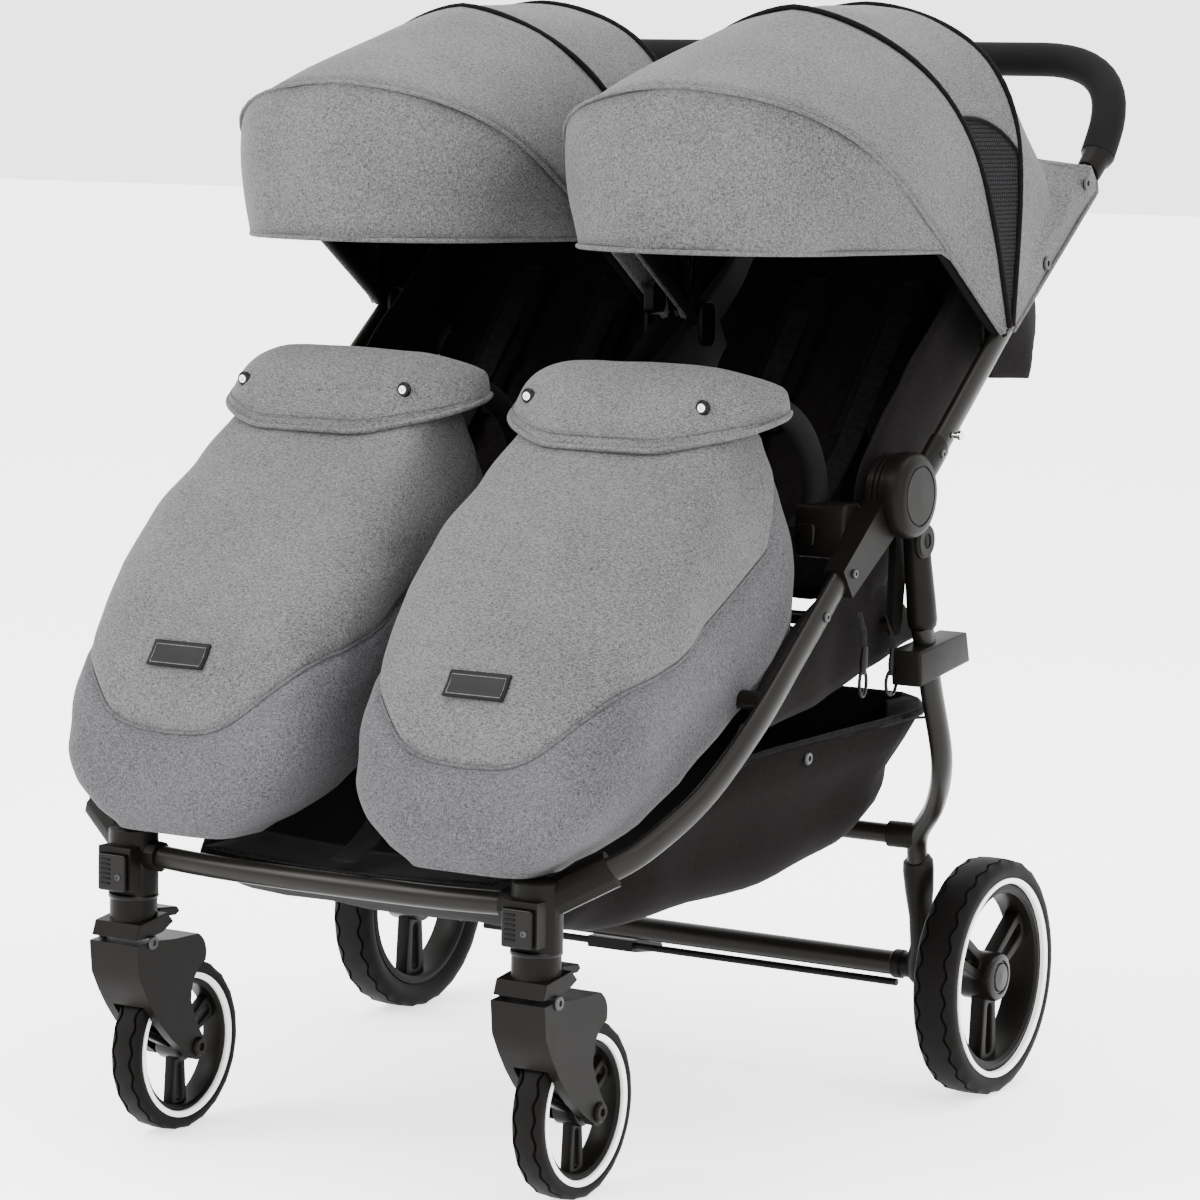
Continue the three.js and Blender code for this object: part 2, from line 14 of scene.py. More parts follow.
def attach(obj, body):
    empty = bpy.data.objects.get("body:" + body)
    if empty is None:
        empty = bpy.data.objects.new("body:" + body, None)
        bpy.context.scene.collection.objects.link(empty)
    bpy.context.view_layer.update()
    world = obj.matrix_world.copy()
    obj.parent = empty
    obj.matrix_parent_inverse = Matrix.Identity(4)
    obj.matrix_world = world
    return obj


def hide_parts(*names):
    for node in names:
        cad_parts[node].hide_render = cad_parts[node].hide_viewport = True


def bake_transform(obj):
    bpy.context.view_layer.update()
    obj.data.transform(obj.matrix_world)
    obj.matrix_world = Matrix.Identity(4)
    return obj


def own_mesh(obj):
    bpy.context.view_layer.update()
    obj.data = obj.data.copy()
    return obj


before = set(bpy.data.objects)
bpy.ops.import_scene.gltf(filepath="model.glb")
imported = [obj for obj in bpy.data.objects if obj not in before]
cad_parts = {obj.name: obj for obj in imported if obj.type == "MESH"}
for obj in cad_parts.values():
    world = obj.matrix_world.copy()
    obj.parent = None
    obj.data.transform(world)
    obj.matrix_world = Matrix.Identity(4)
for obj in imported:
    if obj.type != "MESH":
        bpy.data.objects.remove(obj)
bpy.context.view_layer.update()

# ---------- driving dimensions ----------
SHIFT_Y = -84.4                 # the CAD source's own shift of the whole object
SIDES = (("right", 1), ("left", -1))

REAR_WHEEL = {"radius": 121, "width": 46, "x": 354.5, "y": 297, "hub": 25}
FRONT_WHEEL = {"radius": 84, "width": 32, "x": 229, "y": -297, "hub": 16}
CASTER_X = 229
STEM_Y = -363
HUB = {"y": 83, "z": 631, "radius": 42}
HANDLE_PLANE = 368
HANDLE_ANGLE = 39
TUBE = (16, 27)
REAR_TUBE = (20, 28)
HANDLE_BAR = {"y": 555, "z": 1054, "bend": 100}
SEAT_X = 168
SEAT_HINGE = (105, 500)
BACK_ANGLE = 50
BAR_HALF = 129
CANOPY_PIVOT = (262, 775)
CANOPY_X = 195
HEM_HEIGHT = 90
SEAM_SIDE = [                   # distance and height of a muff's seam along its sides
    (-404, 380), (-380, 440), (-351, 469), (-266, 492), (-166, 543), (-95, 588), (-55, 642), (-12, 705),
]
SEAM_TOP = 682
MUFF_AROUND = 112               # points round a muff
MUFF_LOWER = 40                 # rings below the seam
MUFF_UPPER = 56                 # rings above it
MUFF_PUFF = 3.5                 # how far a muff swells between its seams
SEAM_DIP = 4.5                  # how far its seam is drawn in
SHELL_HALF = 150                # half width of the shell behind a backrest
OVER_TUBE = 185                 # half width of a canopy where it covers the handle tubes
INNERMOST = 12                  # how near the pivot a canopy's cloth comes
LEG_PLANE_FACE = 356            # the outer face of the front legs' upper ends
RING_WIDTH = 5.5                # the white ring on a wheel
GRIP_START = 516               # how far along the handle tube the foam starts

LEG_ROUTE = [
    (348, -26, 555), (348, -98, 498), (348, -178, 437), (334, -250, 377), (311, -313, 336),
    (287, -341.5, 317),
]
REAR_LEG_ROUTE = [
    (360, 128, 499), (360, 151, 434), (359, 180, 360), (334, 218, 308), (303, 243, 268), (300, 250, 232),
]
# Oval stations from top to bottom: (across,) along, height, width, depth.
REAR_SLEEVE = [
    (108, 606, 10, 14), (109, 602, 22, 25), (112, 590, 26, 27), (118, 560, 27, 28), (126, 525, 28.5, 31),
    (130, 505, 29, 32), (131, 499, 27, 30), (131.6, 496, 22, 24),
]
AXLE_ARM = [
    (300, 249, 244, 24, 28), (300, 250, 241, 30, 34), (300, 251, 232, 31, 36), (300, 254, 212, 29, 33),
    (298, 262, 185, 22, 30), (291, 280, 150, 22, 30), (284, 292, 130, 27, 34), (282, 297, 112, 25, 30),
    (282, 298, 104, 14, 18),
]
CROSSBAR_ROUTE = [(-193.8, -364, 282), (-120, -372, 281), (0, -376, 281), (120, -372, 281),
                  (193.8, -364, 282)]

# Bows of a canopy: angle about the pivot, half width, reach, and the powers of width and reach.
BOWS = {
    "front": (145.6, 181, 431, 1.17, 0.26),
    "middle": (110.6, 187, 345, 1.34, 0.445),
    "rear": (84.5, 187, 331, 1.2, 0.38),
    "back": (48, 181, 268, 1.0, 0.38),
}
ACROSS = 57                     # points along a bow

# Level sections of a foot muff, toe first: height, front edge, back edge, half width.
MUFF_LEVELS = [
    (311, -390, -316, 62), (328, -401, -290, 86), (351, -404, -258, 116), (385, -402, -214, 134),
    (440, -388, -112, 144), (480, -366, -30, 148), (550, -314, -12, 147), (600, -266, -14, 138),
    (650, -204, -26, 124), (690, -152, -42, 112), (706, -124, -56, 104),
]

# Stations of the basket, front first: distance, floor height, rim height, half width.
BASKET_STATIONS = [
    (-322, 262, 276, 180), (-250, 236, 290, 222), (-180, 226, 345, 262), (-90, 228, 388, 290),
    (40, 238, 397, 314), (150, 262, 404, 334), (188, 276, 406, 332), (250, 312, 404, 296),
    (290, 348, 402, 256),
]

# ---------- looks, light and camera ----------
BLEND_ENDS = (0.35, 0.65)       # where a blend of two colours starts and ends
SHEEN_PATCH = 0.07              # how far a hard surface's roughness varies
HOLE_SHADE_ALPHA = 0.95               # a net's holes are filled nearly opaque with their dark colour, painted shade of what lies behind
LIGHT_AIM = (0, 0, 0.5)
LIGHTS = {                      # place, diameter and power
    "key": ((-2.2, -3.0, 3.4), 2.6, 300),
    "fill": ((3.4, -1.6, 2.2), 3.0, 90),
    "top": ((0.3, 0.6, 4.0), 3.0, 130),
}
WORLD_STRENGTH = 3.2
FLOOR_GLOW = 1.6
CAMERA = {"location": (2.217, -3.5977, 1.0163), "azimuth": 0.5489, "pitch": 0.1213, "roll": 0.0159,
          "lens": 125.93}


def at(x, y, z):
    """A point of the CAD source in the row frame, in metres."""
    return Vector((x, y + SHIFT_Y, z)) / 1000


# ---------- materials ----------
def nodes_of(name, roughness, metallic=0.0, sheen=0.0, specular=0.4):
    """A material with its Principled shader and a mapping of object coordinates, in metres."""
    material = bpy.data.materials.new(name)
    material.use_nodes = True
    tree = material.node_tree
    shader = tree.nodes["Principled BSDF"]
    for socket, value in (("Roughness", roughness), ("Metallic", metallic), ("Sheen Weight", sheen),
                          ("Sheen Roughness", 0.5), ("Specular IOR Level", specular)):
        shader.inputs[socket].default_value = value
    coordinates = tree.nodes.new("ShaderNodeTexCoord").outputs["Object"]
    return material, tree, shader, coordinates


def node(tree, kind, links=(), **values):
    """Adds a node, sets its inputs by name or its properties, and links (socket, input name) pairs."""
    made = tree.nodes.new(kind)
    for key, value in values.items():
        socket = made.inputs.get(key.replace("_", " "))
        if socket is not None:
            socket.default_value = value
        else:
            setattr(made, key, value)
    for source, target in links:
        tree.links.new(source, made.inputs[target])
    return made


def noise_of(tree, coordinates, scale, detail=2.0):
    """Smooth noise with a scale per metre."""
    return node(tree, "ShaderNodeTexNoise", [(coordinates, "Vector")], Scale=scale,
                Detail=detail).outputs["Fac"]


def mixed(tree, factor, dark, light):
    """Two colours mixed by a factor, all dark up to one end of the blend and all light past the other."""
    ramp = node(tree, "ShaderNodeValToRGB", [(factor, "Fac")])
    for stop, position, colour in zip(ramp.color_ramp.elements, BLEND_ENDS, (dark, light)):
        stop.position = position
        stop.color = (*colour, 1)
    return ramp.outputs["Color"]


def bumped(tree, shader, height, distance):
    """Gives the shader's surface relief of a distance in metres."""
    bump = node(tree, "ShaderNodeBump", [(height, "Height")], Distance=distance, Strength=1.0)
    tree.links.new(bump.outputs["Normal"], shader.inputs["Normal"])


def shaded(tree, shader, coordinates, base, spread, scale):
    """Colours the shader with a base colour that varies by a share, at a scale per metre."""
    dark = [c * (1 - spread) for c in base]
    light = [c * (1 + spread) for c in base]
    tree.links.new(mixed(tree, noise_of(tree, coordinates, scale), dark, light), shader.inputs["Base Color"])


def hard_material(name, base, roughness, metallic=0.0, grain=900, depth=0.00004, spread=0.12, specular=0.4):
    """Moulded or coated: fine grain in the surface, patchy sheen and slight wear in the colour."""
    material, tree, shader, coordinates = nodes_of(name, roughness, metallic, specular=specular)
    shaded(tree, shader, coordinates, base, spread, 18)
    patches = node(tree, "ShaderNodeMapRange", [(noise_of(tree, coordinates, 35, 4), "Value")],
                   To_Min=roughness - SHEEN_PATCH, To_Max=roughness + SHEEN_PATCH)
    tree.links.new(patches.outputs["Result"], shader.inputs["Roughness"])
    bumped(tree, shader, noise_of(tree, coordinates, grain), depth)
    return material


def cloth_material(name, dark, light, sheen=0.1, yarn=1000, depth=0.00025, specular=0.15):
    """Woven cloth: two shades of yarn crossing at right angles, with a broad variation under them."""
    material, tree, shader, coordinates = nodes_of(name, 0.92, sheen=sheen, specular=specular)
    yarns = []
    for stretch in ((1, 1, 0.32), (0.32, 0.35, 1)):
        mapping = node(tree, "ShaderNodeMapping", [(coordinates, "Vector")], Scale=stretch)
        yarns.append(noise_of(tree, mapping.outputs["Vector"], yarn, 1.5))
    weave = node(tree, "ShaderNodeMath", [(yarns[0], 0), (yarns[1], 1)], operation="ADD")
    half = node(tree, "ShaderNodeMath", [(weave.outputs["Value"], 0)], operation="MULTIPLY")
    half.inputs[1].default_value = 0.5
    broad = noise_of(tree, coordinates, 9)
    blend = node(tree, "ShaderNodeMix", [(half.outputs["Value"], 2), (broad, 3)], data_type="FLOAT")
    blend.inputs[0].default_value = 0.12
    tree.links.new(mixed(tree, blend.outputs[0], dark, light), shader.inputs["Base Color"])
    bumped(tree, shader, half.outputs["Value"], depth)
    return material


def net_material(name, thread, gap, cell, along):
    """Square net: threads over holes painted nearly opaque in a dark colour, painted shade of what is behind,
    with a little of it showing through.
    """
    material, tree, shader, coordinates = nodes_of(name, 0.85, specular=0.05)
    parts = node(tree, "ShaderNodeSeparateXYZ", [(coordinates, "Vector")])
    flat = node(tree, "ShaderNodeCombineXYZ",
                [(parts.outputs[along[0]], "X"), (parts.outputs[along[1]], "Y")])
    # the holes take the gap colour, painted shade of what lies behind the net
    bricks = node(tree, "ShaderNodeTexBrick", [(flat.outputs["Vector"], "Vector")], Scale=1.0, offset=0.0,
                  Brick_Width=cell, Row_Height=cell, Mortar_Size=cell * 0.17, Mortar_Smooth=0.1,
                  Color1=(*gap, 1), Color2=(*gap, 1), Mortar=(*thread, 1))
    tree.links.new(bricks.outputs["Color"], shader.inputs["Base Color"])
    bumped(tree, shader, bricks.outputs["Fac"], 0.0004)
    solid = node(tree, "ShaderNodeMapRange", [(bricks.outputs["Fac"], "Value")], To_Min=HOLE_SHADE_ALPHA,
                 To_Max=1.0)
    tree.links.new(solid.outputs["Result"], shader.inputs["Alpha"])
    return material


MATERIALS = {
    "tube": hard_material("powder_coat", (0.0042, 0.0036, 0.0028), 0.34, grain=650, specular=0.11),
    "plastic": hard_material("moulded_nylon", (0.0026, 0.0022, 0.0018), 0.42, specular=0.06),
    "gloss": hard_material("smooth_nylon", (0.0024, 0.002, 0.0017), 0.28, grain=300, depth=0.00001,
                           specular=0.1),
    "foam": hard_material("grip_foam", (0.0024, 0.0024, 0.0026), 0.8, grain=480, depth=0.00022,
                          specular=0.07),
    "rubber": hard_material("tyre_rubber", (0.002, 0.0017, 0.0015), 0.6, grain=420, depth=0.0001,
                            specular=0.06),
    "white": hard_material("white_ring", (0.75, 0.75, 0.73), 0.45, grain=300, spread=0.03),
    "steel": hard_material("bright_steel", (0.72, 0.72, 0.71), 0.22, 1.0, grain=200, depth=0.00001,
                           spread=0.04),
    "bolt": hard_material("dark_bolt", (0.03, 0.03, 0.03), 0.35, 0.9, grain=200, depth=0.00001),
    "grey": cloth_material("grey_melange", (0.017, 0.0165, 0.0168), (0.098, 0.095, 0.0955), sheen=0.05),
    "gusset": cloth_material("grey_melange_dark", (0.0135, 0.0135, 0.0145), (0.074, 0.073, 0.078),
                             sheen=0.04),
    "black": cloth_material("black_weave", (0.0016, 0.0013, 0.0012), (0.0042, 0.0034, 0.0031), sheen=0.01,
                            yarn=480, specular=0.05),
    "lining": cloth_material("black_lining", (0.0013, 0.0012, 0.0012), (0.003, 0.0028, 0.0028), sheen=0.0,
                             yarn=700, specular=0.05),
    "webbing": cloth_material("webbing", (0.0016, 0.0015, 0.0015), (0.006, 0.0056, 0.0055), sheen=0.02,
                              yarn=330, depth=0.0006, specular=0.06),
    "leather": hard_material("patch_leather", (0.004, 0.0037, 0.0035), 0.5, grain=260, depth=0.0002,
                             specular=0.08),
    "thread": cloth_material("stitching", (0.03, 0.03, 0.03), (0.08, 0.08, 0.08), yarn=900),
    # the second colour of each net fills its holes as painted shade
    "window": net_material("window_net", (0.0025, 0.0025, 0.0028), (0.012, 0.012, 0.013), 0.0042, "YZ"),
    "strap_net": net_material("strap_net", (0.0025, 0.0025, 0.0028), (0.009, 0.009, 0.0095), 0.0035, "XY"),
}


# ---------- building pieces ----------
def settle(obj, material, body=None, smooth=38):
    """Shades a piece smoothly, gives it its material, and lets it ride on its body."""
    obj.data.shade_smooth()
    obj.data.set_sharp_from_angle(angle=radians(smooth))
    obj.data.materials.clear()
    obj.data.materials.append(MATERIALS[material])
    if body:
        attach(obj, body)
    return obj


def object_of(name, points, faces):
    """A mesh object from row-frame points, its faces turned to face out where they close."""
    mesh = bpy.data.meshes.new(name)
    mesh.from_pydata([tuple(p) for p in points], [], faces)
    work = bmesh.new()
    work.from_mesh(mesh)
    bmesh.ops.remove_doubles(work, verts=work.verts, dist=1e-6)
    bmesh.ops.dissolve_degenerate(work, edges=work.edges, dist=1e-6)
    bmesh.ops.recalc_face_normals(work, faces=work.faces)
    work.to_mesh(mesh)
    work.free()
    return linked(bpy.data.objects.new(name, mesh))


def linked(obj):
    """Puts an object in the scene."""
    bpy.context.scene.collection.objects.link(obj)
    return obj


def strip_faces(rows, count, closed):
    """Quads between neighbouring rows of count points each."""
    faces = []
    for i in range(rows - 1):
        for j in range(count if closed else count - 1):
            k = (j + 1) % count
            faces.append((i * count + j, i * count + k, (i + 1) * count + k, (i + 1) * count + j))
    return faces


def lofted(name, rings, material, body=None, caps=True, smooth=38):
    """A skin over rings of CAD-source points, closed at both ends if caps is true."""
    count = len(rings[0])
    faces = strip_faces(len(rings), count, True)
    if caps:
        faces.append(tuple(range(count)))
        faces.append(tuple((len(rings) - 1) * count + i for i in range(count)))
    points = [at(*p) for ring in rings for p in ring]
    return settle(object_of(name, points, faces), material, body, smooth)


def smooth_route(points, per=8):
    """A Catmull-Rom line through the points."""
    points = [Vector(p) for p in points]
    line = []
    for before, a, b, after in zip(points[:1] + points, points, points[1:], points[2:] + points[-1:]):
        for k in range(per):
            t = k / per
            line.append(0.5 * ((2 * a) + (b - before) * t + (2 * before - 5 * a + 4 * b - after) * t ** 2
                               + (3 * a - before - 3 * b + after) * t ** 3))
    return line + points[-1:]


def oval(point, side, other, width, depth, sides):
    """A ring of points round an oval section, its width along side and its depth along other."""
    turns = [2 * pi * k / sides for k in range(sides)]
    return [point + side * (width / 2 * cos(t)) + other * (depth / 2 * sin(t)) for t in turns]


def swept(name, route, width, depth, material, body=None, lead=(1, 0, 0), sides=20, closed=False):
    """An oval section carried along a route; width lies along lead at the start."""
    route = [Vector(p) for p in route]
    n = len(route)
    rings = []
    side = Vector(lead)
    for i, point in enumerate(route):
        before = route[(i - 1) % n] if closed or i else point
        after = route[(i + 1) % n] if closed or i + 1 < n else point
        along = (after - before).normalized()
        side = (side - along * side.dot(along)).normalized()
        rings.append(oval(point, side, along.cross(side), width, depth, sides))
    if closed:
        rings.append(rings[0])
    return lofted(name, rings, material, body, caps=not closed)


def tapered(name, stations, material, body=None, sides=28):
    """An oval section whose (x, y, z, width, depth) changes from station to station."""
    rings = []
    for i, (x, y, z, width, depth) in enumerate(stations):
        before, after = stations[max(0, i - 1)], stations[min(len(stations) - 1, i + 1)]
        along = (Vector(after[:3]) - Vector(before[:3])).normalized()
        lead = Vector((0, 0, 1)) if abs(along.x) > 0.9 else Vector((1, 0, 0))
        side = (lead - along * along.dot(lead)).normalized()
        rings.append(oval(Vector((x, y, z)), side, along.cross(side), width, depth, sides))
    return lofted(name, rings, material, body, smooth=50)


def along_axis(axis, u, v, w):
    """Coordinates u and v across an axis and w along it, as (x, y, z)."""
    return {"X": (w, u, v), "Y": (u, w, v), "Z": (u, v, w)}[axis]


def turned(name, profile, centre, material, body=None, axis="X", facing=1, segments=56, smooth=32):
    """A closed profile of (radius, distance along the axis) turned about an axis through centre."""
    rings = []
    for i in range(segments):
        angle = 2 * pi * i / segments
        c, s = cos(angle), sin(angle)
        ring = []
        for radius, along in profile:
            shift = along_axis(axis, radius * c, radius * s, along * facing)
            ring.append(tuple(a + b for a, b in zip(centre, shift)))
        rings.append(ring)
    rings.append(rings[0])
    return lofted(name, rings, material, body, caps=False, smooth=smooth)


def plate(name, outlines, low, high, edge, material, body=None, plane="X"):
    """Outlines, the first the rim and the rest holes, given thickness across a plane and rounded edges."""
    curve = bpy.data.curves.new(name, "CURVE")
    curve.dimensions = "2D"
    curve.fill_mode = "BOTH"
    curve.extrude = (high - low) / 2 - edge
    curve.bevel_depth = edge
    curve.bevel_resolution = 2
    curve.offset = -edge
    for outline in outlines:
        spline = curve.splines.new("POLY")
        spline.points.add(len(outline) - 1)
        for point, (u, v) in zip(spline.points, outline):
            point.co = (u, v, 0, 1)
        spline.use_cyclic_u = True
    holder = bpy.data.objects.new(name, curve)
    mesh = bpy.data.meshes.new_from_object(holder)
    middle = (low + high) / 2
    points = [at(*along_axis(plane, v.co.x, v.co.y, v.co.z + middle)) for v in mesh.vertices]
    faces = [tuple(f.vertices) for f in mesh.polygons]
    bpy.data.objects.remove(holder)
    bpy.data.curves.remove(curve)
    bpy.data.meshes.remove(mesh)
    return settle(object_of(name, points, faces), material, body)


def rounded(u0, u1, v0, v1, corner, per=5):
    """A rectangle's outline with rounded corners."""
    centres = [(u1 - corner, v1 - corner, 0), (u0 + corner, v1 - corner, 90), (u0 + corner, v0 + corner, 180),
               (u1 - corner, v0 + corner, 270)]
    return [(u + corner * cos(radians(a + 90 * k / per)), v + corner * sin(radians(a + 90 * k / per)))
            for u, v, a in centres for k in range(per + 1)]


def block(name, x, y, z, corner, edge, material, body=None, plane="X"):
    """A box with rounded corners across a plane and rounded edges."""
    ranges = {"X": (y, z, x), "Y": (x, z, y), "Z": (x, y, z)}[plane]
    return plate(name, [rounded(*ranges[0], *ranges[1], corner)], *ranges[2], edge, material, body, plane)


def dress(name, material, edge=1.2):
    """Shows a CAD node as it is, with its edges eased and its own finish."""
    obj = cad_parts[name]
    stored = obj.data.attributes.get("custom_normal")
    if stored:
        obj.data.attributes.remove(stored)
    obj.data.shade_smooth()
    obj.data.materials.clear()
    obj.data.materials.append(MATERIALS[material])
    weld = obj.modifiers.new("weld", "WELD")
    weld.merge_threshold = 0.00002
    bevel = obj.modifiers.new("edges", "BEVEL")
    bevel.width = edge / 1000
    bevel.segments = 2
    bevel.limit_method = "ANGLE"
    bevel.angle_limit = radians(34)
    bevel.harden_normals = True


def cloth_sheet(name, rows, material, body=None, thick=1.6, inner=None):
    """A sheet over rows of CAD-source points, thickened inwards, with its inner face in another cloth."""
    points = [at(*p) for row in rows for p in row]
    obj = object_of(name, points, strip_faces(len(rows), len(rows[0]), False))
    settle(obj, material, body, smooth=60)
    if inner:
        obj.data.materials.append(MATERIALS[inner])
    solid = obj.modifiers.new("thickness", "SOLIDIFY")
    solid.thickness = thick / 1000
    solid.offset = -1
    solid.material_offset = 1 if inner else 0
    return obj


def outward(obj, centre):
    """Turns a sheet so that its faces look away from a CAD-source point."""
    middle = at(*centre)
    facing = sum((f.center - middle).dot(f.normal) * f.area for f in obj.data.polygons)
    if facing < 0:
        obj.data.flip_normals()
    return obj


def rivet(name, centre, radius, body, facing=1, axis="X", material="bolt", high=2.2):
    """A domed head with a small recess."""
    profile = [(0.01, 0), (radius, 0), (radius, high * 0.5), (radius * 0.85, high), (radius * 0.42, high),
               (radius * 0.36, high * 0.45), (0.01, high * 0.45)]
    return turned(name, profile, centre, material, body, axis, facing, 28)


def along_handle(distance, x=HANDLE_PLANE):
    """The handle tube's middle at a distance up from the hub."""
    angle = radians(HANDLE_ANGLE)
    return Vector((x, HUB["y"] + distance * cos(angle), HUB["z"] + distance * sin(angle)))


def wrinkle(obj, size, depth, seed):
    """Pushes a cloth piece in and out along its normals by smooth noise; size and depth are in mm."""
    offset = Vector((seed * 3.7, seed * 1.3, seed * 2.1))
    normals = [v.normal.copy() for v in obj.data.vertices]
    for vertex, normal in zip(obj.data.vertices, normals):
        vertex.co += normal * (noise.noise(vertex.co * (1000 / size) + offset) * depth / 1000)


def mirrored_route(route, sign):
    """A right-hand route, or its mirror image if sign is -1."""
    return [(sign * x, y, z) for x, y, z in route]


# ---------- tubes and hubs ----------
def add_frame(side, s):
    """One side's legs, handle tube, hub, sleeve and axle bracket, with their rivets."""
    leg = swept(f"leg_tube_{side}", smooth_route(mirrored_route(LEG_ROUTE, s)), *TUBE, "tube", "chassis")
    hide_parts(f"front_leg_{side}")
    rear = swept(f"rear_leg_tube_{side}", smooth_route(mirrored_route(REAR_LEG_ROUTE, s)), *REAR_TUBE, "tube",
                 "rear_frame")
    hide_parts(f"rear_leg_{side}")
    handle = swept(f"upper_tube_{side}",
                   [along_handle(39, s * HANDLE_PLANE), along_handle(489, s * HANDLE_PLANE)],
                   *TUBE, "tube", "handle_frame")
    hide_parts(f"handle_tube_{side}")
    swept(f"handle_sleeve_{side}", [along_handle(36, s * HANDLE_PLANE), along_handle(72, s * HANDLE_PLANE)],
          18.6, 31, "plastic", "handle_frame")
    r = HUB["radius"]
    profile = [(0.01, 340), (r - 3, 340), (r - 1, 341.5)]
    for groove in (345, 350.5):
        profile += [(r - 1, groove), (r - 3, groove + 0.6), (r - 3, groove + 1.6), (r - 1, groove + 2.2)]
    profile += [(r - 1, 356), (r, 358), (r, 368), (r - 0.8, 372), (r - 3, 375.5), (r - 6.5, 377.6),
                (r - 12, 378.2), (r - 12.6, 377), (r - 13.6, 377), (r - 14.2, 378.2), (0.01, 378.6)]
    cover = turned(f"hub_cap_{side}", profile, (0, HUB["y"], HUB["z"]), "plastic", "handle_frame", facing=s)
    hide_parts(f"hub_cover_{side}")
    dress(f"hub_base_{side}", "plastic", 3)
    dress(f"storage_pin_{side}", "steel", 0.5)
    for name, (x, y, z), body, size in (
            ("leg", (LEG_PLANE_FACE, -62, 526), "chassis", 5),
            ("hub", (LEG_PLANE_FACE + 3.3, -14, 563), "chassis", 4.5),
            ("sleeve", (376.8, *along_handle(60)[1:]), "handle_frame", 4.5)):
        rivet(f"rivet_{name}_{side}", (s * x, y, z), size, body, s)
    sleeve = tapered(f"rear_sleeve_{side}", [(s * 359, *station) for station in REAR_SLEEVE], "plastic",
                     "rear_frame")
    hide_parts(f"rear_leg_sleeve_{side}")
    rivet(f"rear_pivot_cap_{side}", (s * 367, 110, 585), 18, "rear_frame", s, material="plastic", high=6)
    bracket = tapered(f"axle_arm_{side}", [(s * x, *rest) for x, *rest in AXLE_ARM], "plastic", "rear_frame")
    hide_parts(f"axle_bracket_{side}")
    elbow = [(0.01, 252), (14, 252), (15, 253.5), (15, 262), (13, 264), (13, 296), (11, 298), (11, 330),
             (0.01, 330)]
    turned(f"axle_elbow_{side}", elbow, (0, REAR_WHEEL["y"], REAR_WHEEL["radius"]), "plastic", "rear_frame",
           facing=s)


for side, s in SIDES:
    add_frame(side, s)

crossbar = swept("crossbar_tube", smooth_route(CROSSBAR_ROUTE), 22, 22, "tube", "chassis", lead=(0, 0, 1))
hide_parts("front_crossbar")
for name in ("seat_crossbar", "seat_hinge_bar", "rear_axle_tube", "rear_crossbar"):
    dress(name, "tube", 0.8)
for name in ("centre_bracket", "brake_pedal"):
    dress(name, "plastic", 1.4)
for side, s in SIDES:
    tapered(f"crossbar_socket_{side}",
            [(s * 272, 238, 268, 18, 18), (s * 273, 238, 268, 27, 27), (s * 296, 240, 268, 27, 27),
             (s * 306, 242, 268, 22, 22)],
            "plastic", "rear_frame")
catch = plate("storage_clamp", [[(94, 478), (128, 481), (196, 487), (204, 457), (150, 450), (98, 443)]],
              343, 376, 3, "plastic", "rear_frame")
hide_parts("storage_catch")


def add_hook(name, y, z, width, height, body):
    """A closed wire hook hanging from a strap's end."""
    loop = [(346, y + width / 2 * cos(a), z + height / 2 * sin(a))
            for a in (2 * pi * k / 24 for k in range(24))]
    swept(f"{name}_loop", loop, 3.4, 3.4, "gloss", body, sides=10, closed=True)
    top = z + height / 2
    tapered(f"{name}_body",
            [(346, y, top - 5, 5, 8), (346, y + 1, top + 6, 7, 11), (346, y + 3, top + 22, 5, 8)],
            "gloss", body, sides=12)
    strap = swept(f"{name}_strap", [(345, y + 3, top + 20), (343, y + 6, top + 36), (336, y + 8, top + 54)],
                  2, 12, "webbing", body, lead=(1, 0, 0))


add_hook("seat_hook", 33, 452, 14, 26, "chassis")
add_hook("catch_hook", 92, 446, 22, 24, "chassis")


def grip_route():
    """The handle's line from one end of the grip to the other."""
    bend = HANDLE_BAR["bend"]
    start = along_handle(GRIP_START)
    corner = Vector((HANDLE_PLANE, HANDLE_BAR["y"], HANDLE_BAR["z"]))
    before = corner + (start - corner).normalized() * bend
    after = corner + Vector((-bend, 0, 0))
    half = [start, (start + before) / 2]
    for k in range(13):
        t = k / 12
        half.append((1 - t) ** 2 * before + 2 * t * (1 - t) * corner + t ** 2 * after)
    half.append(Vector((after.x / 2, after.y, after.z)))
    other = [Vector((-p.x, p.y, p.z)) for p in reversed(half)]
    return half + [Vector((0, HANDLE_BAR["y"], HANDLE_BAR["z"]))] + other


grip = swept("grip", grip_route(), 36, 36, "foam", "handle_frame", sides=28)
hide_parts("handle_grip")
for side, s in SIDES:
    x = s * HANDLE_PLANE
    collar = [(487, 22, 30), (489, 25, 31), (508, 27, 31), (512, 33, 34), (GRIP_START + 3, 36, 36)]
    tapered(f"grip_end_{side}", [(*along_handle(far, x), width, depth) for far, width, depth in collar],
            "plastic", "handle_frame")


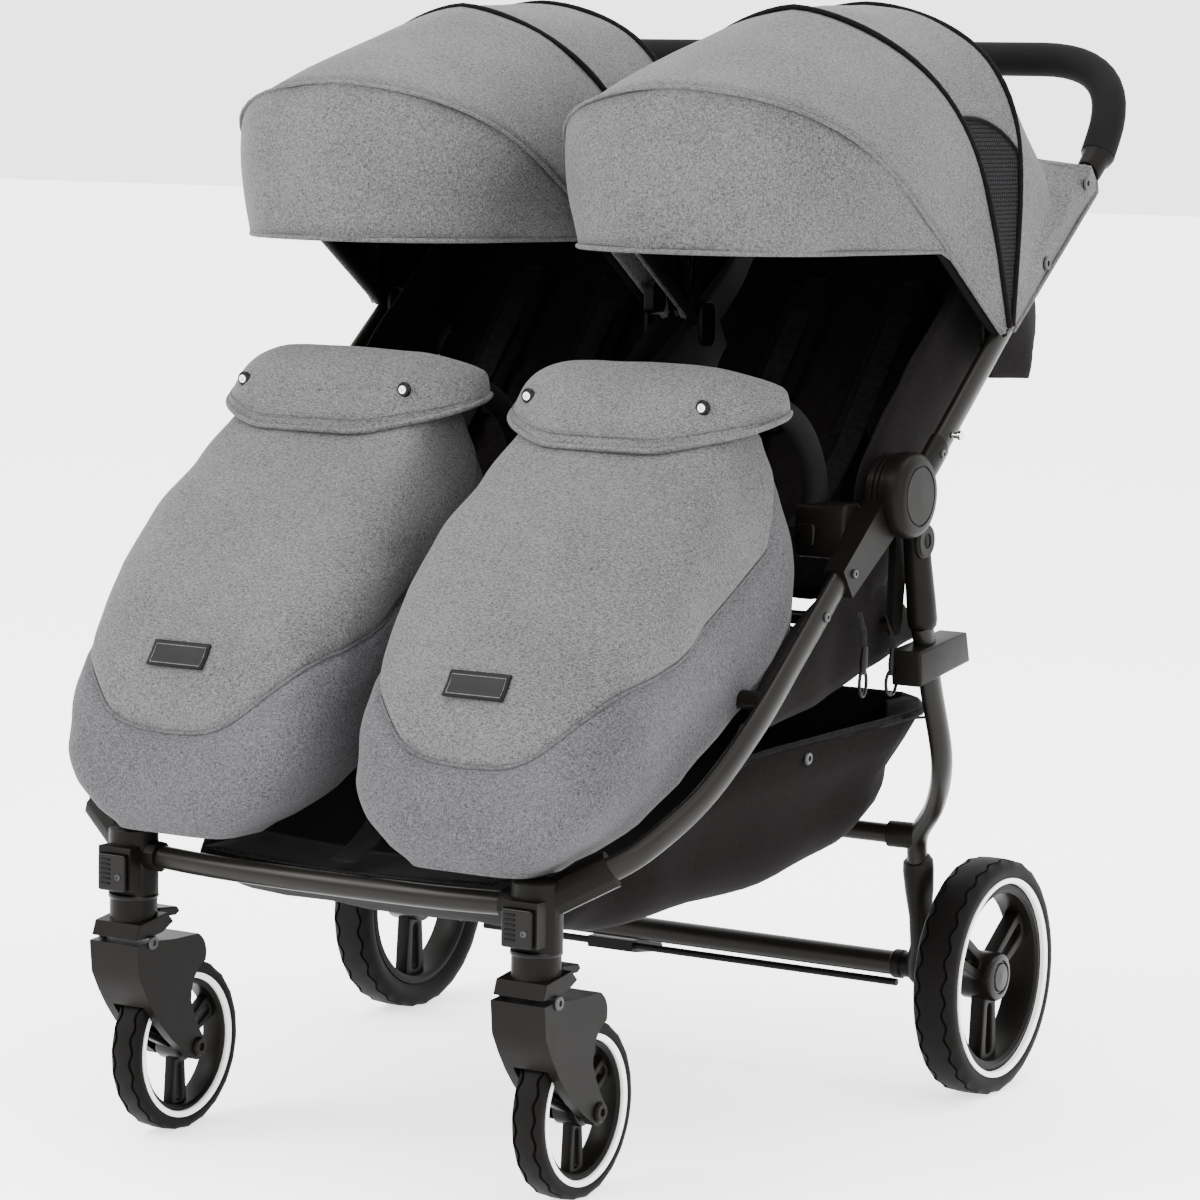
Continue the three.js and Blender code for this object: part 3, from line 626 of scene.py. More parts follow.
# ---------- casters and wheels ----------
def add_caster(side, s):
    """The details of a caster, round its CAD housing, stem, fork, lock and release button."""
    x = s * CASTER_X
    for name in ("caster_housing", "caster_stem", "caster_fork", "swivel_lock"):
        dress(f"{name}_{side}", "plastic", 1.6)
    dress(f"release_button_{side}", "gloss", 2.0)
    button = f"release_button_{side}"
    for k in range(6):
        z = 256 + 4.6 * k
        block(f"button_rib_{side}_{k}", (x - 13, x - 1.5), (-399.2, -397), (z, z + 2.2), 1, 0.5, "plastic",
              button, "Y")
    rivet(f"button_screw_{side}", (x + 8, -397.8, 264), 3.4, button, -1, "Y", high=1.4)
    turned(f"caster_collar_{side}", [(0.01, 0), (23.6, 0), (24.4, 1.4), (24.4, 3), (23.6, 4.4), (0.01, 4.4)],
           (x, STEM_Y, 239.4), "gloss", f"caster_{side}", "Z")
    turned(f"housing_top_{side}", [(0.01, 0), (24, 0), (24, 1.5), (22.5, 3.4), (19, 4.6), (0.01, 5.2)],
           (x, STEM_Y, 304.6), "plastic", "chassis", "Z")
    for face in (-1, 1):
        tag = f"{side}_{'inner' if face == -s else 'outer'}"
        rivet(f"fork_pivot_{tag}", (x + face * 28.8, -371, 199), 7, f"fork_{side}", face, high=2.6)
        rivet(f"fork_axle_{tag}", (x + face * 28.8, FRONT_WHEEL["y"], FRONT_WHEEL["radius"]), 9.5,
              f"fork_{side}", face, material="plastic", high=4)


def add_tyre(name, wheel, s, body, waves):
    """A tyre with a groove that winds round each shoulder."""
    radius, width = wheel["radius"], wheel["width"]
    shoulder = width * 0.31
    half = [(radius * 0.79, width * 0.36, 0), (radius * 0.83, width * 0.45, 0),
            (radius * 0.885, width * 0.5, 0),
            (radius * 0.94, width * 0.485, 0), (radius * 0.975, width * 0.43, 0.1),
            (radius - 0.8, shoulder + 1.6, 1), (radius - 3.2, shoulder + 0.7, 1),
            (radius - 3.2, shoulder - 0.7, 1), (radius - 0.5, shoulder - 1.6, 1), (radius, width * 0.13, 0)]
    profile = half + [(radius, -width * 0.13, 0)] + [(r, -x, share) for r, x, share in reversed(half[:-1])]
    per = 10
    rings = []
    for i in range(waves * per):
        angle = 2 * pi * i / (waves * per)
        wave = width * 0.05 * sin(2 * pi * i / per)
        c, si = cos(angle), sin(angle)
        rings.append([(s * wheel["x"] + x + copysign(share, x) * wave, wheel["y"] + r * si, radius - r * c)
                      for r, x, share in profile])
    rings.append(rings[0])
    tyre = lofted(f"{name}_tyre_tread", rings, "rubber", body, caps=False, smooth=40)
    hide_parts(name + "_tyre_" + body.rsplit("_", 1)[1])


def spoke(name, wheel, s, angle, body):
    """One spoke, wider at the rim, with a long slot down its middle."""
    near, far = wheel["hub"] * 0.8, wheel["radius"] * 0.715
    spread = wheel["radius"] / 84
    rim = [(-9 * spread, near), (9 * spread, near), (12.5 * spread, far), (-12.5 * spread, far)]
    slot_low, slot_high = near + 9 * spread, far - 8 * spread
    slot = []
    for middle, half, first in ((slot_high, 4.6, 0), (slot_low, 3.2, 180)):
        turns = [radians(first + a) for a in range(0, 181, 30)]
        slot += [(half * spread * cos(a), middle + half * spread * sin(a)) for a in turns]
    turn = Matrix.Rotation(radians(angle), 2)
    centre = Vector((wheel["y"], wheel["radius"]))
    x = s * wheel["x"]
    deep = wheel["width"] * 0.17
    outlines = [[tuple(turn @ Vector(p) + centre) for p in outline] for outline in (rim, slot)]
    plate(name, outlines, x - deep, x + deep, 1.6, "plastic", body)


def add_wheel(kind, wheel, side, s, waves, ringed):
    """A wheel, with a white ring on each face listed in ringed."""
    body = f"{kind}_wheel_{side}"
    radius, width, hub = wheel["radius"], wheel["width"], wheel["hub"]
    centre = (s * wheel["x"], wheel["y"], radius)
    add_tyre(kind, wheel, s, body, waves)
    edge, lip = radius * 0.785, width * 0.38
    ring = [(edge, lip), (radius * 0.745, lip + 0.8), (radius * 0.715, lip - 1.5),
            (radius * 0.7, width * 0.16)]
    ring += [(r, -x) for r, x in reversed(ring)]
    rim = turned(f"{kind}_rim_ring_{side}", ring, centre, "plastic", body, segments=96)
    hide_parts(f"{kind}_rim_{side}")
    for k in range(3):
        spoke(f"{kind}_spoke_{side}_{k}", wheel, s, 120 * k + 180, body)
    cap = [(0.01, -width * 0.42), (hub * 0.9, -width * 0.42), (hub, -width * 0.38), (hub, width * 0.34),
           (hub * 0.94, width * 0.4), (hub * 0.78, width * 0.43), (hub * 0.7, width * 0.43),
           (hub * 0.66, width * 0.39),
           (hub * 0.6, width * 0.39), (hub * 0.55, width * 0.44), (0.01, width * 0.46)]
    turned(f"{kind}_hub_cap_{side}", cap, centre, "gloss", body, facing=s)
    for face in ringed:
        inner, outer = radius * 0.845 - RING_WIDTH, radius * 0.845
        trim = [(inner, width * 0.37), (inner, width * 0.47), (inner + 1, width * 0.495),
                (outer - 1, width * 0.507), (outer, width * 0.5), (outer, width * 0.42)]
        turned(f"{kind}_ring_{side}_{'plus' if face > 0 else 'minus'}", trim, centre, "white", body,
               facing=face, segments=96)


for side, s in SIDES:
    add_caster(side, s)
    add_wheel("front", FRONT_WHEEL, side, s, 22, (1, -1))
    add_wheel("rear", REAR_WHEEL, side, s, 28, (s,))


# ---------- seats ----------
def quilted(name, place, width, length, thick, cell, material, body):
    """A padded slab with diamond quilting; place takes (across, along, up) to the CAD source."""
    across, along = int(width / 5), int(length / 5)
    rings = []
    for i in range(along + 1):
        v = -1 + 2 * i / along
        ring = []
        for face in (1, -1):
            for j in range(across + 1):
                u = face * (-1 + 2 * j / across)
                edge = (max(0.0, 1 - abs(u) ** 10) * max(0.0, 1 - abs(v) ** 14)) ** 0.35
                a, b = u * width / 2, v * length / 2
                p = abs(sin(pi * (a + b) / cell)) * abs(sin(pi * (a - b) / cell))
                dip = 5.5 * (1 - min(1, 2.4 * p) ** 0.5) * edge
                ring.append(place(a, b, face * (thick / 2 * edge - dip)))
        rings.append(ring)
    obj = lofted(name, rings, material, body, smooth=70)
    return obj


def leaning(x, start):
    """Takes (across, along, up) to the leaning plane of a backrest."""
    c, s = cos(radians(BACK_ANGLE)), sin(radians(BACK_ANGLE))
    return lambda a, b, up: (x + a, SEAT_HINGE[0] + (start + b) * c - up * s,
                             SEAT_HINGE[1] + (start + b) * s + up * c)


def add_seat(side, s):
    """A quilted seat and backrest with shoulder pads, harness straps and a buckle."""
    x = s * SEAT_X
    seat = quilted(f"seat_pad_{side}", lambda a, b, up: (x + a, -57 + b, 482 + up), 278, 284, 32, 52, "black",
                   "chassis")
    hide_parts(f"seat_{side}")
    back = quilted(f"back_pad_{side}", leaning(x + s * 6, 251), 292, 456, 32, 52, "black", f"backrest_{side}")
    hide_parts(f"backrest_{side}")
    for tag, shift in (("a", -58), ("b", 58)):
        place = leaning(x + s * 6 + shift, 0)
        pad = quilted(f"shoulder_pad_{side}_{tag}", lambda a, b, up: place(a, b + 300, up + 22),
                      52, 190, 15, 400, "black", f"backrest_{side}")
        strap = [place(0, b, up)
                 for b, up in ((400, 17), (396, 24), (300, 29), (190, 30), (120, 40), (66, 60))]
        line = swept(f"harness_strap_{side}_{tag}", smooth_route(strap), 25, 2.2, "webbing",
                     f"backrest_{side}")
    block(f"buckle_{side}", (x - 24, x + 24), (12, 28), (545, 590), 8, 3, "plastic", f"backrest_{side}", "Y")


def cloth_between(name, lower, upper, x, bulge, body, flat, seed):
    """A black sheet between two lines of (y, z) points, standing at x and bulging to one side."""
    low = smooth_route([(x, y, z) for y, z in lower], 40 // (len(lower) - 1))
    high = smooth_route([(x, y, z) for y, z in upper], 40 // (len(upper) - 1))
    rows = []
    for i in range(9):
        t = i / 8
        rows.append([a.lerp(b, t) + Vector((bulge * sin(pi * t), 0, 0)) for a, b in zip(low, high)])
    sheet = cloth_sheet(name, rows, "black", thick=1.6)
    wrinkle(sheet, 55, 4, seed)
    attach(sheet, body)


def add_seat_cloth(side, s):
    """Wings beside the backrest and skirts below the seat, on both of its sides."""
    wing_lines = {
        "outer": ([(100, 512), (200, 622), (305, 740), (405, 862)],
                  [(58, 534), (70, 660), (240, 815), (396, 926)]),
        "inner": ([(100, 505), (240, 600), (360, 690), (436, 800)],
                  [(58, 534), (70, 648), (250, 786), (404, 890)]),
    }
    for tag, shift in (("outer", 153), ("inner", -152)):
        x = s * (SEAT_X + shift)
        bulge = s * copysign(6, shift)
        cloth_between(f"seat_wing_{side}_{tag}", *wing_lines[tag], x, bulge, f"backrest_{side}", (0.5, 0.18),
                      s + 2)
        cloth_between(f"seat_skirt_{side}_{tag}", [(-139, 421), (-3, 438), (100, 460), (190, 478)],
                      [(-150, 446), (-30, 530), (84, 560), (176, 506)], x, bulge, "chassis", (0.36, 0.11),
                      s + 6)


for side, s in SIDES:
    add_seat(side, s)
    add_seat_cloth(side, s)


# ---------- bumper bars ----------
def bar_route(x):
    """The bumper bar's line from its left end to its right end."""
    half = [(BAR_HALF - 2, 22, 612), (BAR_HALF, 14, 660), (BAR_HALF - 2, -28, 708), (BAR_HALF - 28, -76, 727)]
    left = [(x - a, y, z) for a, y, z in half]
    return smooth_route(left + [(x, -88, 728)] + [(x + a, y, z) for a, y, z in reversed(half)])


def add_bar(side, s):
    """A bumper bar with its mounts and buttons."""
    x = s * SEAT_X
    bar = swept(f"bumper_{side}", bar_route(x), 24, 24, "foam", "chassis", sides=24)
    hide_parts(f"bumper_bar_{side}")
    for tag, low, high in (("outer", BAR_HALF - 16, 168.5), ("inner", -157.5, 16 - BAR_HALF)):
        ends = sorted((x + s * low, x + s * high))
        block(f"bar_mount_{side}_{tag}", ends, (6, 42), (572, 626), 9, 4, "plastic", "chassis")
    for tag, shift in (("outer", BAR_HALF), ("inner", -BAR_HALF)):
        block(f"bar_button_{side}_{tag}", (x + s * shift - 9, x + s * shift + 9), (2, 8), (584, 606), 5, 2,
              "gloss", "chassis", "Y")


for side, s in SIDES:
    add_bar(side, s)


# ---------- foot muffs ----------
def muff_level(z):
    """Front edge, back edge and half width of a muff at a height, smoothly between its levels."""
    heights = [level[0] for level in MUFF_LEVELS]
    z = min(max(z, heights[0]), heights[-1])
    i = max(0, min(len(heights) - 2, int(np.searchsorted(heights, z) - 1)))
    t = (z - heights[i]) / (heights[i + 1] - heights[i])
    before, after = MUFF_LEVELS[max(0, i - 1)], MUFF_LEVELS[min(len(heights) - 1, i + 2)]
    low, high = MUFF_LEVELS[i], MUFF_LEVELS[i + 1]
    return [0.5 * (2 * b + (c - a) * t + (2 * a - 5 * b + 4 * c - d) * t * t
                   + (3 * b - a - 3 * c + d) * t ** 3)
            for a, b, c, d in zip(before[1:], low[1:], high[1:], after[1:])]


def seam_height(offset, y):
    """Height of the seam between a muff's front panel and its gusset, at a point of its skin."""
    front = 403 + 44 * (abs(offset) / 111) ** 2.2
    side = float(np.interp(y, *zip(*SEAM_SIDE)))
    return 12 * log(exp(front / 12) + exp(side / 12)) - 2


def muff_point(angle, z):
    """Offset, distance and outward direction of a muff's skin at an angle about its middle."""
    front, back, half = muff_level(z)
    middle, deep = (front + back) / 2, (back - front) / 2
    c, si = cos(angle), sin(angle)
    offset = half * copysign(abs(c) ** 0.5, c)
    y = middle + deep * copysign(abs(si) ** (0.42 if si < 0 else 0.3), si)
    return offset, y, Vector((c / half, si / deep, 0)).normalized()


def seam_line():
    """The seam's height at each angle about a muff, smoothed."""
    line = []
    for k in range(MUFF_AROUND):
        angle = 2 * pi * k / MUFF_AROUND
        heights = np.linspace(400, SEAM_TOP, 140)
        line.append(next((z for z in heights if z >= seam_height(*muff_point(angle, z)[:2])), SEAM_TOP))
    line = np.array(line)
    for _ in range(3):
        line = (np.roll(line, 1) + 2 * line + np.roll(line, -1)) / 4
    return line


SEAM_LINE = seam_line()


def muff_rings(x):
    """Points of a muff's skin, puffed out between its seams, with one ring lying on the seam."""
    rings = []
    bottom, top = MUFF_LEVELS[0][0], MUFF_LEVELS[-1][0]
    for i in range(MUFF_LOWER + MUFF_UPPER + 1):
        ring = []
        for k, seam in enumerate(SEAM_LINE):
            if i <= MUFF_LOWER:
                z = bottom + (seam - bottom) * i / MUFF_LOWER
            else:
                z = seam + (top - seam) * (i - MUFF_LOWER) / MUFF_UPPER
            offset, y, out = muff_point(2 * pi * k / MUFF_AROUND, z)
            gap = abs(z - seam)
            swell = MUFF_PUFF * min(1, gap / 60) - SEAM_DIP * exp(-(gap / 7) ** 2)
            swell += 3.2 * noise.noise(Vector((offset / 60, y / 70, z / 42)))
            pucker = sin((offset + y) / 9.5 + 3 * noise.noise(Vector((offset / 50, y / 50, 5))))
            swell += 1.8 * exp(-gap / 22) * pucker
            ring.append(Vector((x + offset, y, z)) + out * swell)
        rings.append(ring)
    return rings


def flap_rows(x):
    """Rows from behind the bumper bar, over it, to the flap's hem in front."""
    half = [(122, -48, 717), (116, -60, 721), (107, -70, 724), (95, -78, 726.5), (80, -83.5, 728),
            (60, -87, 728), (30, -89.5, 728)]
    line = ([(x - a, y, z) for a, y, z in half] + [(x, -90, 728)]
            + [(x + a, y, z) for a, y, z in reversed(half)])
    route = smooth_route(line, per=7)
    run = np.concatenate([[0], np.cumsum([(b - a).length for a, b in zip(route, route[1:])])])
    columns = []
    for i, point in enumerate(route):
        along = route[min(i + 1, len(route) - 1)] - route[max(i - 1, 0)]
        out = Vector((along.y, -along.x, 0)).normalized()
        c = sin(pi / 2 * min(1.0, min(run[i], run[-1] - run[i]) / 96))
        profile = [(-20, -10 - 24 * c), (-22 + c, -3), (-19 + 3 * c, 12 + 3 * c), (-8 + 5 * c, 20 + 8 * c),
                   (5 + 4 * c, 22 + 8 * c), (15 + 15 * c, 18 + 3 * c), (19 + 33 * c, 11 - 7 * c),
                   (21 + 47 * c, 5 - 27 * c), (22 + 60 * c, -1 - 46 * c)]
        columns.append([point + out * n + Vector((0, 0, up)) for n, up in smooth_profile(profile, 4)])
    return [list(row) for row in zip(*columns)]


def smooth_profile(points, per):
    """A Catmull-Rom line through plane points."""
    return [(p.x, p.y) for p in smooth_route([(u, v, 0) for u, v in points], per)]


def add_muff(side, s):
    """A foot muff with its piping, flap, hem, snaps and patch."""
    x = s * SEAT_X
    rings = muff_rings(x)
    body = lofted(f"muff_{side}", rings, "grey", "chassis", smooth=80)
    body.data.materials.append(MATERIALS["gusset"])
    for face in body.data.polygons[:MUFF_AROUND * MUFF_LOWER]:
        face.material_index = 1
    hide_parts(f"foot_muff_{side}")
    middle = Vector((x, -200, 500))
    seam = [p + (p - middle).normalized() * 1.4 for p in rings[MUFF_LOWER]]
    pieces = [body, swept(f"muff_piping_{side}", seam, 3.6, 3.6, "gusset", "chassis", sides=8, closed=True)]
    rows = flap_rows(x)
    flap = outward(cloth_sheet(f"muff_flap_{side}", rows, "grey", thick=3, inner="lining"), (x, -70, 660))
    wrinkle(flap, 60, 2.4, s + 3)
    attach(flap, "chassis")
    hem = [p + Vector((0, 0, 0.5)) for p in rows[-1]]
    stitch = [p + Vector((0, -1.6, 1.0)) for p in rows[-3][6:-6]]
    pieces += [flap, swept(f"muff_hem_{side}", hem, 5.5, 5.5, "grey", "chassis", sides=10),
               swept(f"muff_stitch_{side}", stitch, 1.4, 1.4, "gusset", "chassis", sides=6)]
    for tag, shift in (("a", -104), ("b", 94)):
        spot = min(rows[-7], key=lambda p: abs(p.x - (x + shift)))
        place = (spot.x, spot.y - 1.5, spot.z)
        pieces.append(rivet(f"snap_ring_{side}_{tag}", place, 7.5, "chassis", -1, "Y", "gloss", 3))
        pieces.append(rivet(f"muff_snap_{side}_{tag}", place, 4.6, "chassis", -1, "Y", "steel", 4.4))
    for piece in pieces + add_patch(side, x):
        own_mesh(piece)


def add_patch(side, x):
    """A blank stitched patch low on the front panel."""
    rows = []
    for i in range(7):
        z = 469 + 22 * i / 6
        rows.append([(x + 65 * (j / 12 - 0.5), muff_level(z)[0] - 6.5, z) for j in range(13)])
    patch = outward(cloth_sheet(f"muff_patch_{side}", rows, "leather", "chassis", thick=2.4), (x, -200, 480))
    patch.modifiers["thickness"].offset = 0
    border = [(x + a, muff_level(z)[0] - 8, z)
              for a, z in ((-29, 472), (0, 472), (29, 472), (29, 480), (29, 488), (0, 488), (-29, 488),
                           (-29, 480), (-29, 472))]
    return [patch, swept(f"patch_stitch_{side}", border, 0.9, 0.9, "thread", "chassis",
                         lead=(0, 0, 1), sides=6)]


for side, s in SIDES:
    add_muff(side, s)


# ---------- canopies ----------
def bow_profile(bow):
    """Offset from the canopy's middle and distance from the pivot along a bow, evenly spaced."""
    _, half, reach, width_power, reach_power = bow
    first = asin((INNERMOST / reach) ** (1 / reach_power))
    ease = np.linspace(0, 1, 1601)
    sine = sin(first) + (1 - sin(first)) * (1 - np.abs(1 - 2 * ease)) ** 3
    cosine = np.sign(0.5 - ease) * np.sqrt(np.maximum(0, 1 - sine ** 2))
    offset = np.sign(cosine) * half * np.abs(cosine) ** width_power
    far = reach * sine ** reach_power
    run = np.concatenate([[0], np.cumsum(np.hypot(np.diff(offset), np.diff(far)))])
    even = np.linspace(0, run[-1], ACROSS)
    return np.interp(even, run, offset), np.interp(even, run, far)


PROFILES = {name: bow_profile(bow) for name, bow in BOWS.items()}


def bow_row(start, end, share):
    """(offset, reach, angle) across the canopy, a share of the way between two bows."""
    offset = PROFILES[start][0] * (1 - share) + PROFILES[end][0] * share
    far = PROFILES[start][1] * (1 - share) + PROFILES[end][1] * share
    a, b = BOWS[start][0], BOWS[end][0]
    chord = cos(radians((b - a) / 2)) / cos(radians((b - a) * (share - 0.5)))
    return clear_of_tube(offset, far * chord, np.full(len(far), a + (b - a) * share))


def clear_of_tube(offset, far, angle):
    """Widens a canopy's sides where they pass over the outside of the handle tubes."""
    above = far * np.sin(np.radians(angle - HANDLE_ANGLE))
    near = np.clip((30 - above) / 12, 0, 1) * np.clip((262 - far) / 14, 0, 1)
    near = near * near * (3 - 2 * near)
    wide = np.copysign(np.maximum(np.abs(offset), OVER_TUBE), offset)
    return offset + (wide - offset) * near, far, angle


def tail_row(share):
    """(offset, reach, angle) from the back bow down to the edge that covers the handle tubes."""
    offset, far = PROFILES["back"]
    sides = np.clip((264 - far) / 22, 0, 1)
    return clear_of_tube(offset, far, BOWS["back"][0] - (4.5 + 7.5 * sides) * share)


def visor_row(share):
    """(offset, reach, angle) across the visor, from the front bow down to its level hem."""
    offset, far = PROFILES["front"]
    hem_far = far * (1 - 0.095 * share)
    hem_angle = 180 - np.degrees(np.arcsin(np.minimum(0.9, HEM_HEIGHT / hem_far)))
    angle = BOWS["front"][0]
    tuck = 1 - 0.17 * share * np.clip((far - 170) / 120, 0, 1)
    return offset * tuck, hem_far, angle + np.maximum(0.15, hem_angle - angle) * share


def hood_row(row, x, inset=0.0):
    """A row of (offset, reach, angle) as CAD-source points, a distance inside the canopy's skin."""
    offset, far, angle = row
    angle = np.radians(angle)
    y, z = CANOPY_PIVOT
    return [(x + o * (1 - inset / 185), y + (r - inset) * cos(a), z + (r - inset) * sin(a))
            for o, r, a in zip(offset, far, angle)]


def split_row(share):
    """The row at a share of the middle panel, cut at the windows' upper edges into side, top and side."""
    row = bow_row("rear", "middle", share)
    reach = 184 + 48 * share + 6 * sin(pi * share)
    first = float(np.interp(reach, row[1][:ACROSS // 2], range(ACROSS // 2)))
    parts = []
    for start, stop, count in ((0, first, 15), (first, ACROSS - 1 - first, 47),
                               (ACROSS - 1 - first, ACROSS - 1, 15)):
        where = np.linspace(start, stop, count)
        parts.append([np.interp(where, range(ACROSS), values) for values in row])
    return parts


def hood_panel(name, rows, x, seed, body=None):
    """A lined and lightly wrinkled panel of a canopy."""
    panel = outward(cloth_sheet(name, rows, "grey", thick=2, inner="lining"), (x, CANOPY_PIVOT[0], 900))
    wrinkle(panel, 70, 3.0, seed)
    if body:
        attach(panel, body)
    return panel


def add_canopy(side, s):
    """A canopy's panels, windows, visor, piping, bows, clips and snaps, and the shell behind it."""
    x = s * CANOPY_X
    middle_body, front_body = f"hood_middle_{side}", f"hood_front_{side}"
    shares = np.linspace(0, 1, 13)
    rear_rows = [bow_row("back", "rear", t) for t in reversed(shares)] + [tail_row(t)
                                                                          for t in (0.25, 0.5, 0.75, 1)]
    rear = hood_panel(f"hood_rear_{side}", [hood_row(row, x) for row in rear_rows], x, 1 + s, "handle_frame")
    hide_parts(f"canopy_rear_{side}")
    plus, top, minus = ([hood_row(row, x) for row in part] for part in zip(*(split_row(t) for t in shares)))
    middle = hood_panel(f"hood_top_{side}", top, x, 4 + s)
    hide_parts(f"canopy_middle_{side}")
    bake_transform(middle)
    for tag, rows, last in (("plus", plus, -1), ("minus", minus, 0)):
        net = outward(cloth_sheet(f"hood_window_{side}_{tag}", rows, "window", thick=0.8),
                      (x, CANOPY_PIVOT[0], 900))
        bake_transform(net)
        edge = swept(f"window_edge_{side}_{tag}", [row[last] for row in rows], 4, 4, "black", sides=8)
        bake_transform(edge)
    front = hood_panel(f"hood_front_{side}", [hood_row(bow_row("middle", "front", t), x) for t in shares],
                       x, 7 + s)
    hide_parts(f"canopy_front_{side}")
    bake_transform(front)
    visor_rows = [hood_row(visor_row(t), x) for t in np.linspace(0, 1, 9)]
    visor = hood_panel(f"visor_{side}", visor_rows, x, 9 + s, front_body)
    for name, line, size, material, body in (
            ("rear", hood_row(bow_row("rear", "rear", 0), x, -1), 6, "black", "handle_frame"),
            ("middle", hood_row(bow_row("middle", "middle", 0), x, -1), 6, "black", middle_body),
            ("front", hood_row(bow_row("front", "front", 0), x, -0.5), 4, "grey", front_body),
            ("back", hood_row(tail_row(1), x, -0.5), 4, "grey", "handle_frame"),
            ("hem", visor_rows[-1], 5, "grey", front_body)):
        swept(f"hood_piping_{name}_{side}", line, size, size, material, body, lead=(0, 1, 0), sides=10)
    for name, bow, body in (("rear", "rear", "handle_frame"), ("middle", "middle", middle_body),
                            ("front", "front", front_body)):
        swept(f"hood_bow_{name}_{side}", hood_row(bow_row(bow, bow, 0), x, 9), 9, 9, "lining", body,
              lead=(0, 1, 0), sides=10)
    for shift in (1, -1):
        ends = sorted((x + shift * 160, x + shift * 165))
        block(f"hood_clip_{side}_{'plus' if shift > 0 else 'minus'}", ends, (248, 276), (752, 798), 10, 1.5,
              "plastic", "handle_frame")
    for tag, rho in (("high", 228), ("low", 109)):
        angle = radians(HANDLE_ANGLE + 3)
        y, z = CANOPY_PIVOT[0] + rho * cos(angle), CANOPY_PIVOT[1] + rho * sin(angle)
        rivet(f"hood_snap_{side}_{tag}", (s * (CANOPY_X + OVER_TUBE), y, z), 7, "handle_frame", s, high=3)
    add_back_shell(side, x)


def add_back_shell(side, x):
    """The black cloth behind a backrest, from under the canopy's edge down round the backrest's back."""
    offset, far, angle = tail_row(0.6)
    offset = np.clip(offset, -SHELL_HALF, SHELL_HALF)
    top = [Vector(p) for p in hood_row((offset, far - 6, np.maximum(angle, 38)), x)]
    low = []
    for k in range(ACROSS):
        share = 2 * k / (ACROSS - 1) - 1
        side_share = min(1.0, (1 - abs(share)) / 0.38)
        out = SHELL_HALF - 26 * max(0.0, side_share - 0.7) / 0.3
        across = -copysign(out, share) if side_share < 1 else -share / 0.62 * (SHELL_HALF - 26)
        low.append(Vector((x + across, 292 + 128 * side_share, 733 - 7 * side_share)))
    rows = []
    for i in range(13):
        t = i / 12
        rows.append([a.lerp(b, t) + Vector((0, 30 * sin(pi * t) * max(0.0, (b.y - 292) / 128), 0))
                     for a, b in zip(top, low)])
    shell = outward(cloth_sheet(f"back_shell_{side}", rows, "black", thick=1.6), (x, 300, 820))
    wrinkle(shell, 60, 6, 3)
    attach(shell, f"backrest_{side}")


for side, s in SIDES:
    add_canopy(side, s)
block("hood_centre_clip", (-6, 6), (196, 226), (786, 820), 8, 3, "plastic", "handle_frame")


# ---------- basket and footrest ----------
def basket_ring(y, floor, top, half):
    """A sagging U from rim to rim."""
    corner = min(70, (top - floor) * 0.9)
    base = half - 0.32 * max(0, half - 200)
    ring = [(half, y, top), ((half + base) / 2 + 3, y, (top + floor + corner) / 2)]
    for k in range(7):
        a = radians(15 * k)
        ring.append((base - corner + corner * cos(a), y, floor + corner - corner * sin(a)))
    flat = [((base - corner) * t, y, floor - 5 * (1 - t * t)) for t in (0.75, 0.5, 0.25)]
    ring += flat + [(0, y, floor - 5)]
    return ring + [(-x, yy, z) for x, yy, z in reversed(ring[:-1])]


stations = [tuple(np.interp(t, range(len(BASKET_STATIONS)), [st[k] for st in BASKET_STATIONS])
                  for k in range(4))
            for t in np.linspace(0, len(BASKET_STATIONS) - 1, 36)]
basket_rows = [basket_ring(*station) for station in stations]
basket_rows = [[(x, stations[0][0] - 1, stations[0][2]) for x, _, _ in basket_rows[0]]] + basket_rows
basket_rows.append([(x, stations[-1][0] + 1, stations[-1][2]) for x, _, _ in basket_rows[-1]])
basket = outward(cloth_sheet("basket_cloth", basket_rows, "black", thick=1.8), (0, 0, 380))
wrinkle(basket, 80, 7, 5)
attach(basket, "chassis")
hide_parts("basket")
rim_line = [row[0] for row in basket_rows[1:-1]]
rim_line += [row[-1] for row in reversed(basket_rows[1:-1])]
swept("basket_hem", rim_line, 5, 9, "webbing", "chassis", closed=True, sides=10)
for side, s in SIDES:
    for tag, route, long in (
            ("rear", [(333, 152, 402), (344, 150, 404), (356, 147, 406)], 0.025),
            ("front", [(286, -110, 388), (314, -140, 412), (338, -168, 436)], 0.085)):
        strap = swept(f"basket_strap_{tag}_{side}", mirrored_route(route, s), 2.4, 22, "webbing", "chassis",
                      lead=(0, 0, 1))
    rivet(f"basket_snap_{side}", (s * 305, 0, 379), 6.5, "chassis", s, high=3)

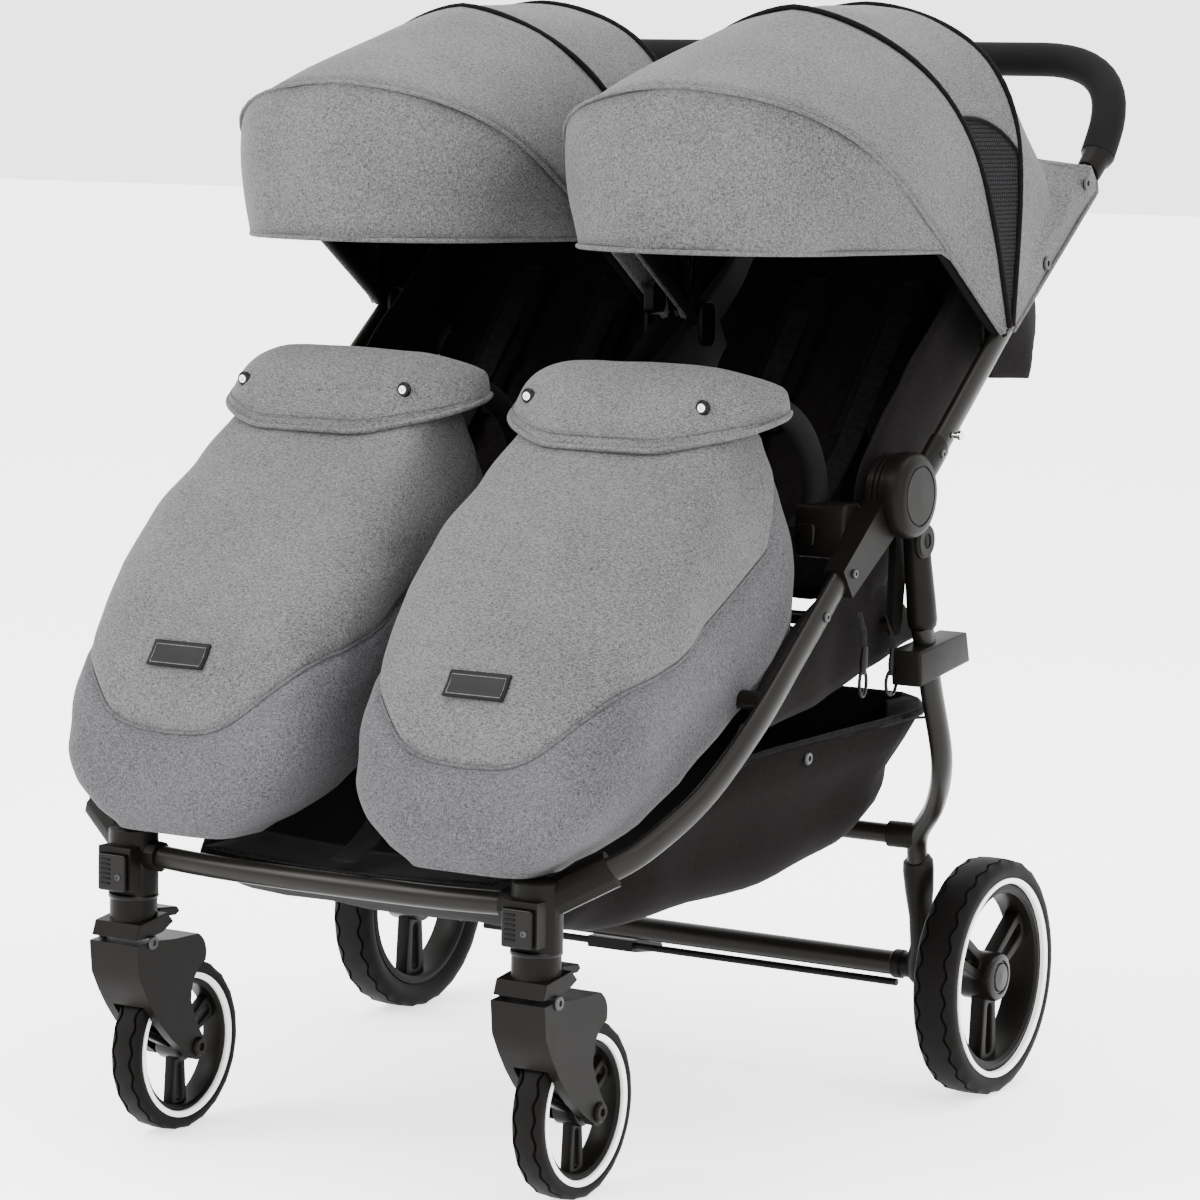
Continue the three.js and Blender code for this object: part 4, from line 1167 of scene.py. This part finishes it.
panel_rows = [[(x, y, 292 - 6 * (1 - (x / 165) ** 2)) for x in np.linspace(-165, 165, 23)]
              for y in np.linspace(-338, -236, 9)]
footrest = cloth_sheet("footrest_cloth", panel_rows, "strap_net", "chassis", thick=1.5)
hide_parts("footrest_panel")
strap_route = smooth_route([(0, -340, 296), (0, -300, 312), (0, -258, 346), (0, -200, 398), (0, -156, 446)])
centre_strap = swept("centre_strap", strap_route, 30, 2, "strap_net", "chassis")


# ---------- floor, light and camera ----------
def add_floor():
    """A wide, pale, faintly glowing floor that isn't part of the object."""
    mesh = bpy.data.meshes.new("floor")
    mesh.from_pydata([(-30, -30, 0), (30, -30, 0), (30, 30, 0), (-30, 30, 0)], [], [(0, 1, 2, 3)])
    floor = linked(bpy.data.objects.new("floor", mesh))
    material, tree, shader, coordinates = nodes_of("pale_floor", 0.85)
    shaded(tree, shader, coordinates, (0.86, 0.86, 0.86), 0.01, 0.6)
    shader.inputs["Emission Color"].default_value = (1, 1, 1, 1)
    shader.inputs["Emission Strength"].default_value = FLOOR_GLOW
    mesh.materials.append(material)


def add_light(name, place, size, power):
    """A soft round light of a diameter in metres and a power in watts."""
    light = bpy.data.lights.new(name, "AREA")
    light.shape = "DISK"
    light.size = size
    light.energy = power
    obj = linked(bpy.data.objects.new(name, light))
    obj.location = place
    obj.rotation_euler = (Vector(LIGHT_AIM) - Vector(place)).to_track_quat("-Z", "Y").to_euler()


def add_camera(location, azimuth, pitch, roll, lens):
    """The camera, turned from +Y by azimuth, tipped down by pitch and rolled, in radians."""
    data = bpy.data.cameras.new("camera")
    data.sensor_width = 36
    data.lens = lens
    camera = linked(bpy.data.objects.new("camera", data))
    forward = Vector((-sin(azimuth) * cos(pitch), cos(azimuth) * cos(pitch), -sin(pitch)))
    level = Vector((cos(azimuth), sin(azimuth), 0))
    right = level * cos(roll) + level.cross(forward) * sin(roll)
    up = right.cross(forward)
    camera.matrix_world = Matrix((right, up, -forward)).transposed().to_4x4()
    camera.location = location
    bpy.context.scene.camera = camera


add_floor()
for name, light in LIGHTS.items():
    add_light(name, *light)
world = bpy.data.worlds.new("studio")
world.use_nodes = True
world.node_tree.nodes["Background"].inputs["Color"].default_value = (1, 1, 1, 1)
world.node_tree.nodes["Background"].inputs["Strength"].default_value = WORLD_STRENGTH
bpy.context.scene.world = world
add_camera(**CAMERA)
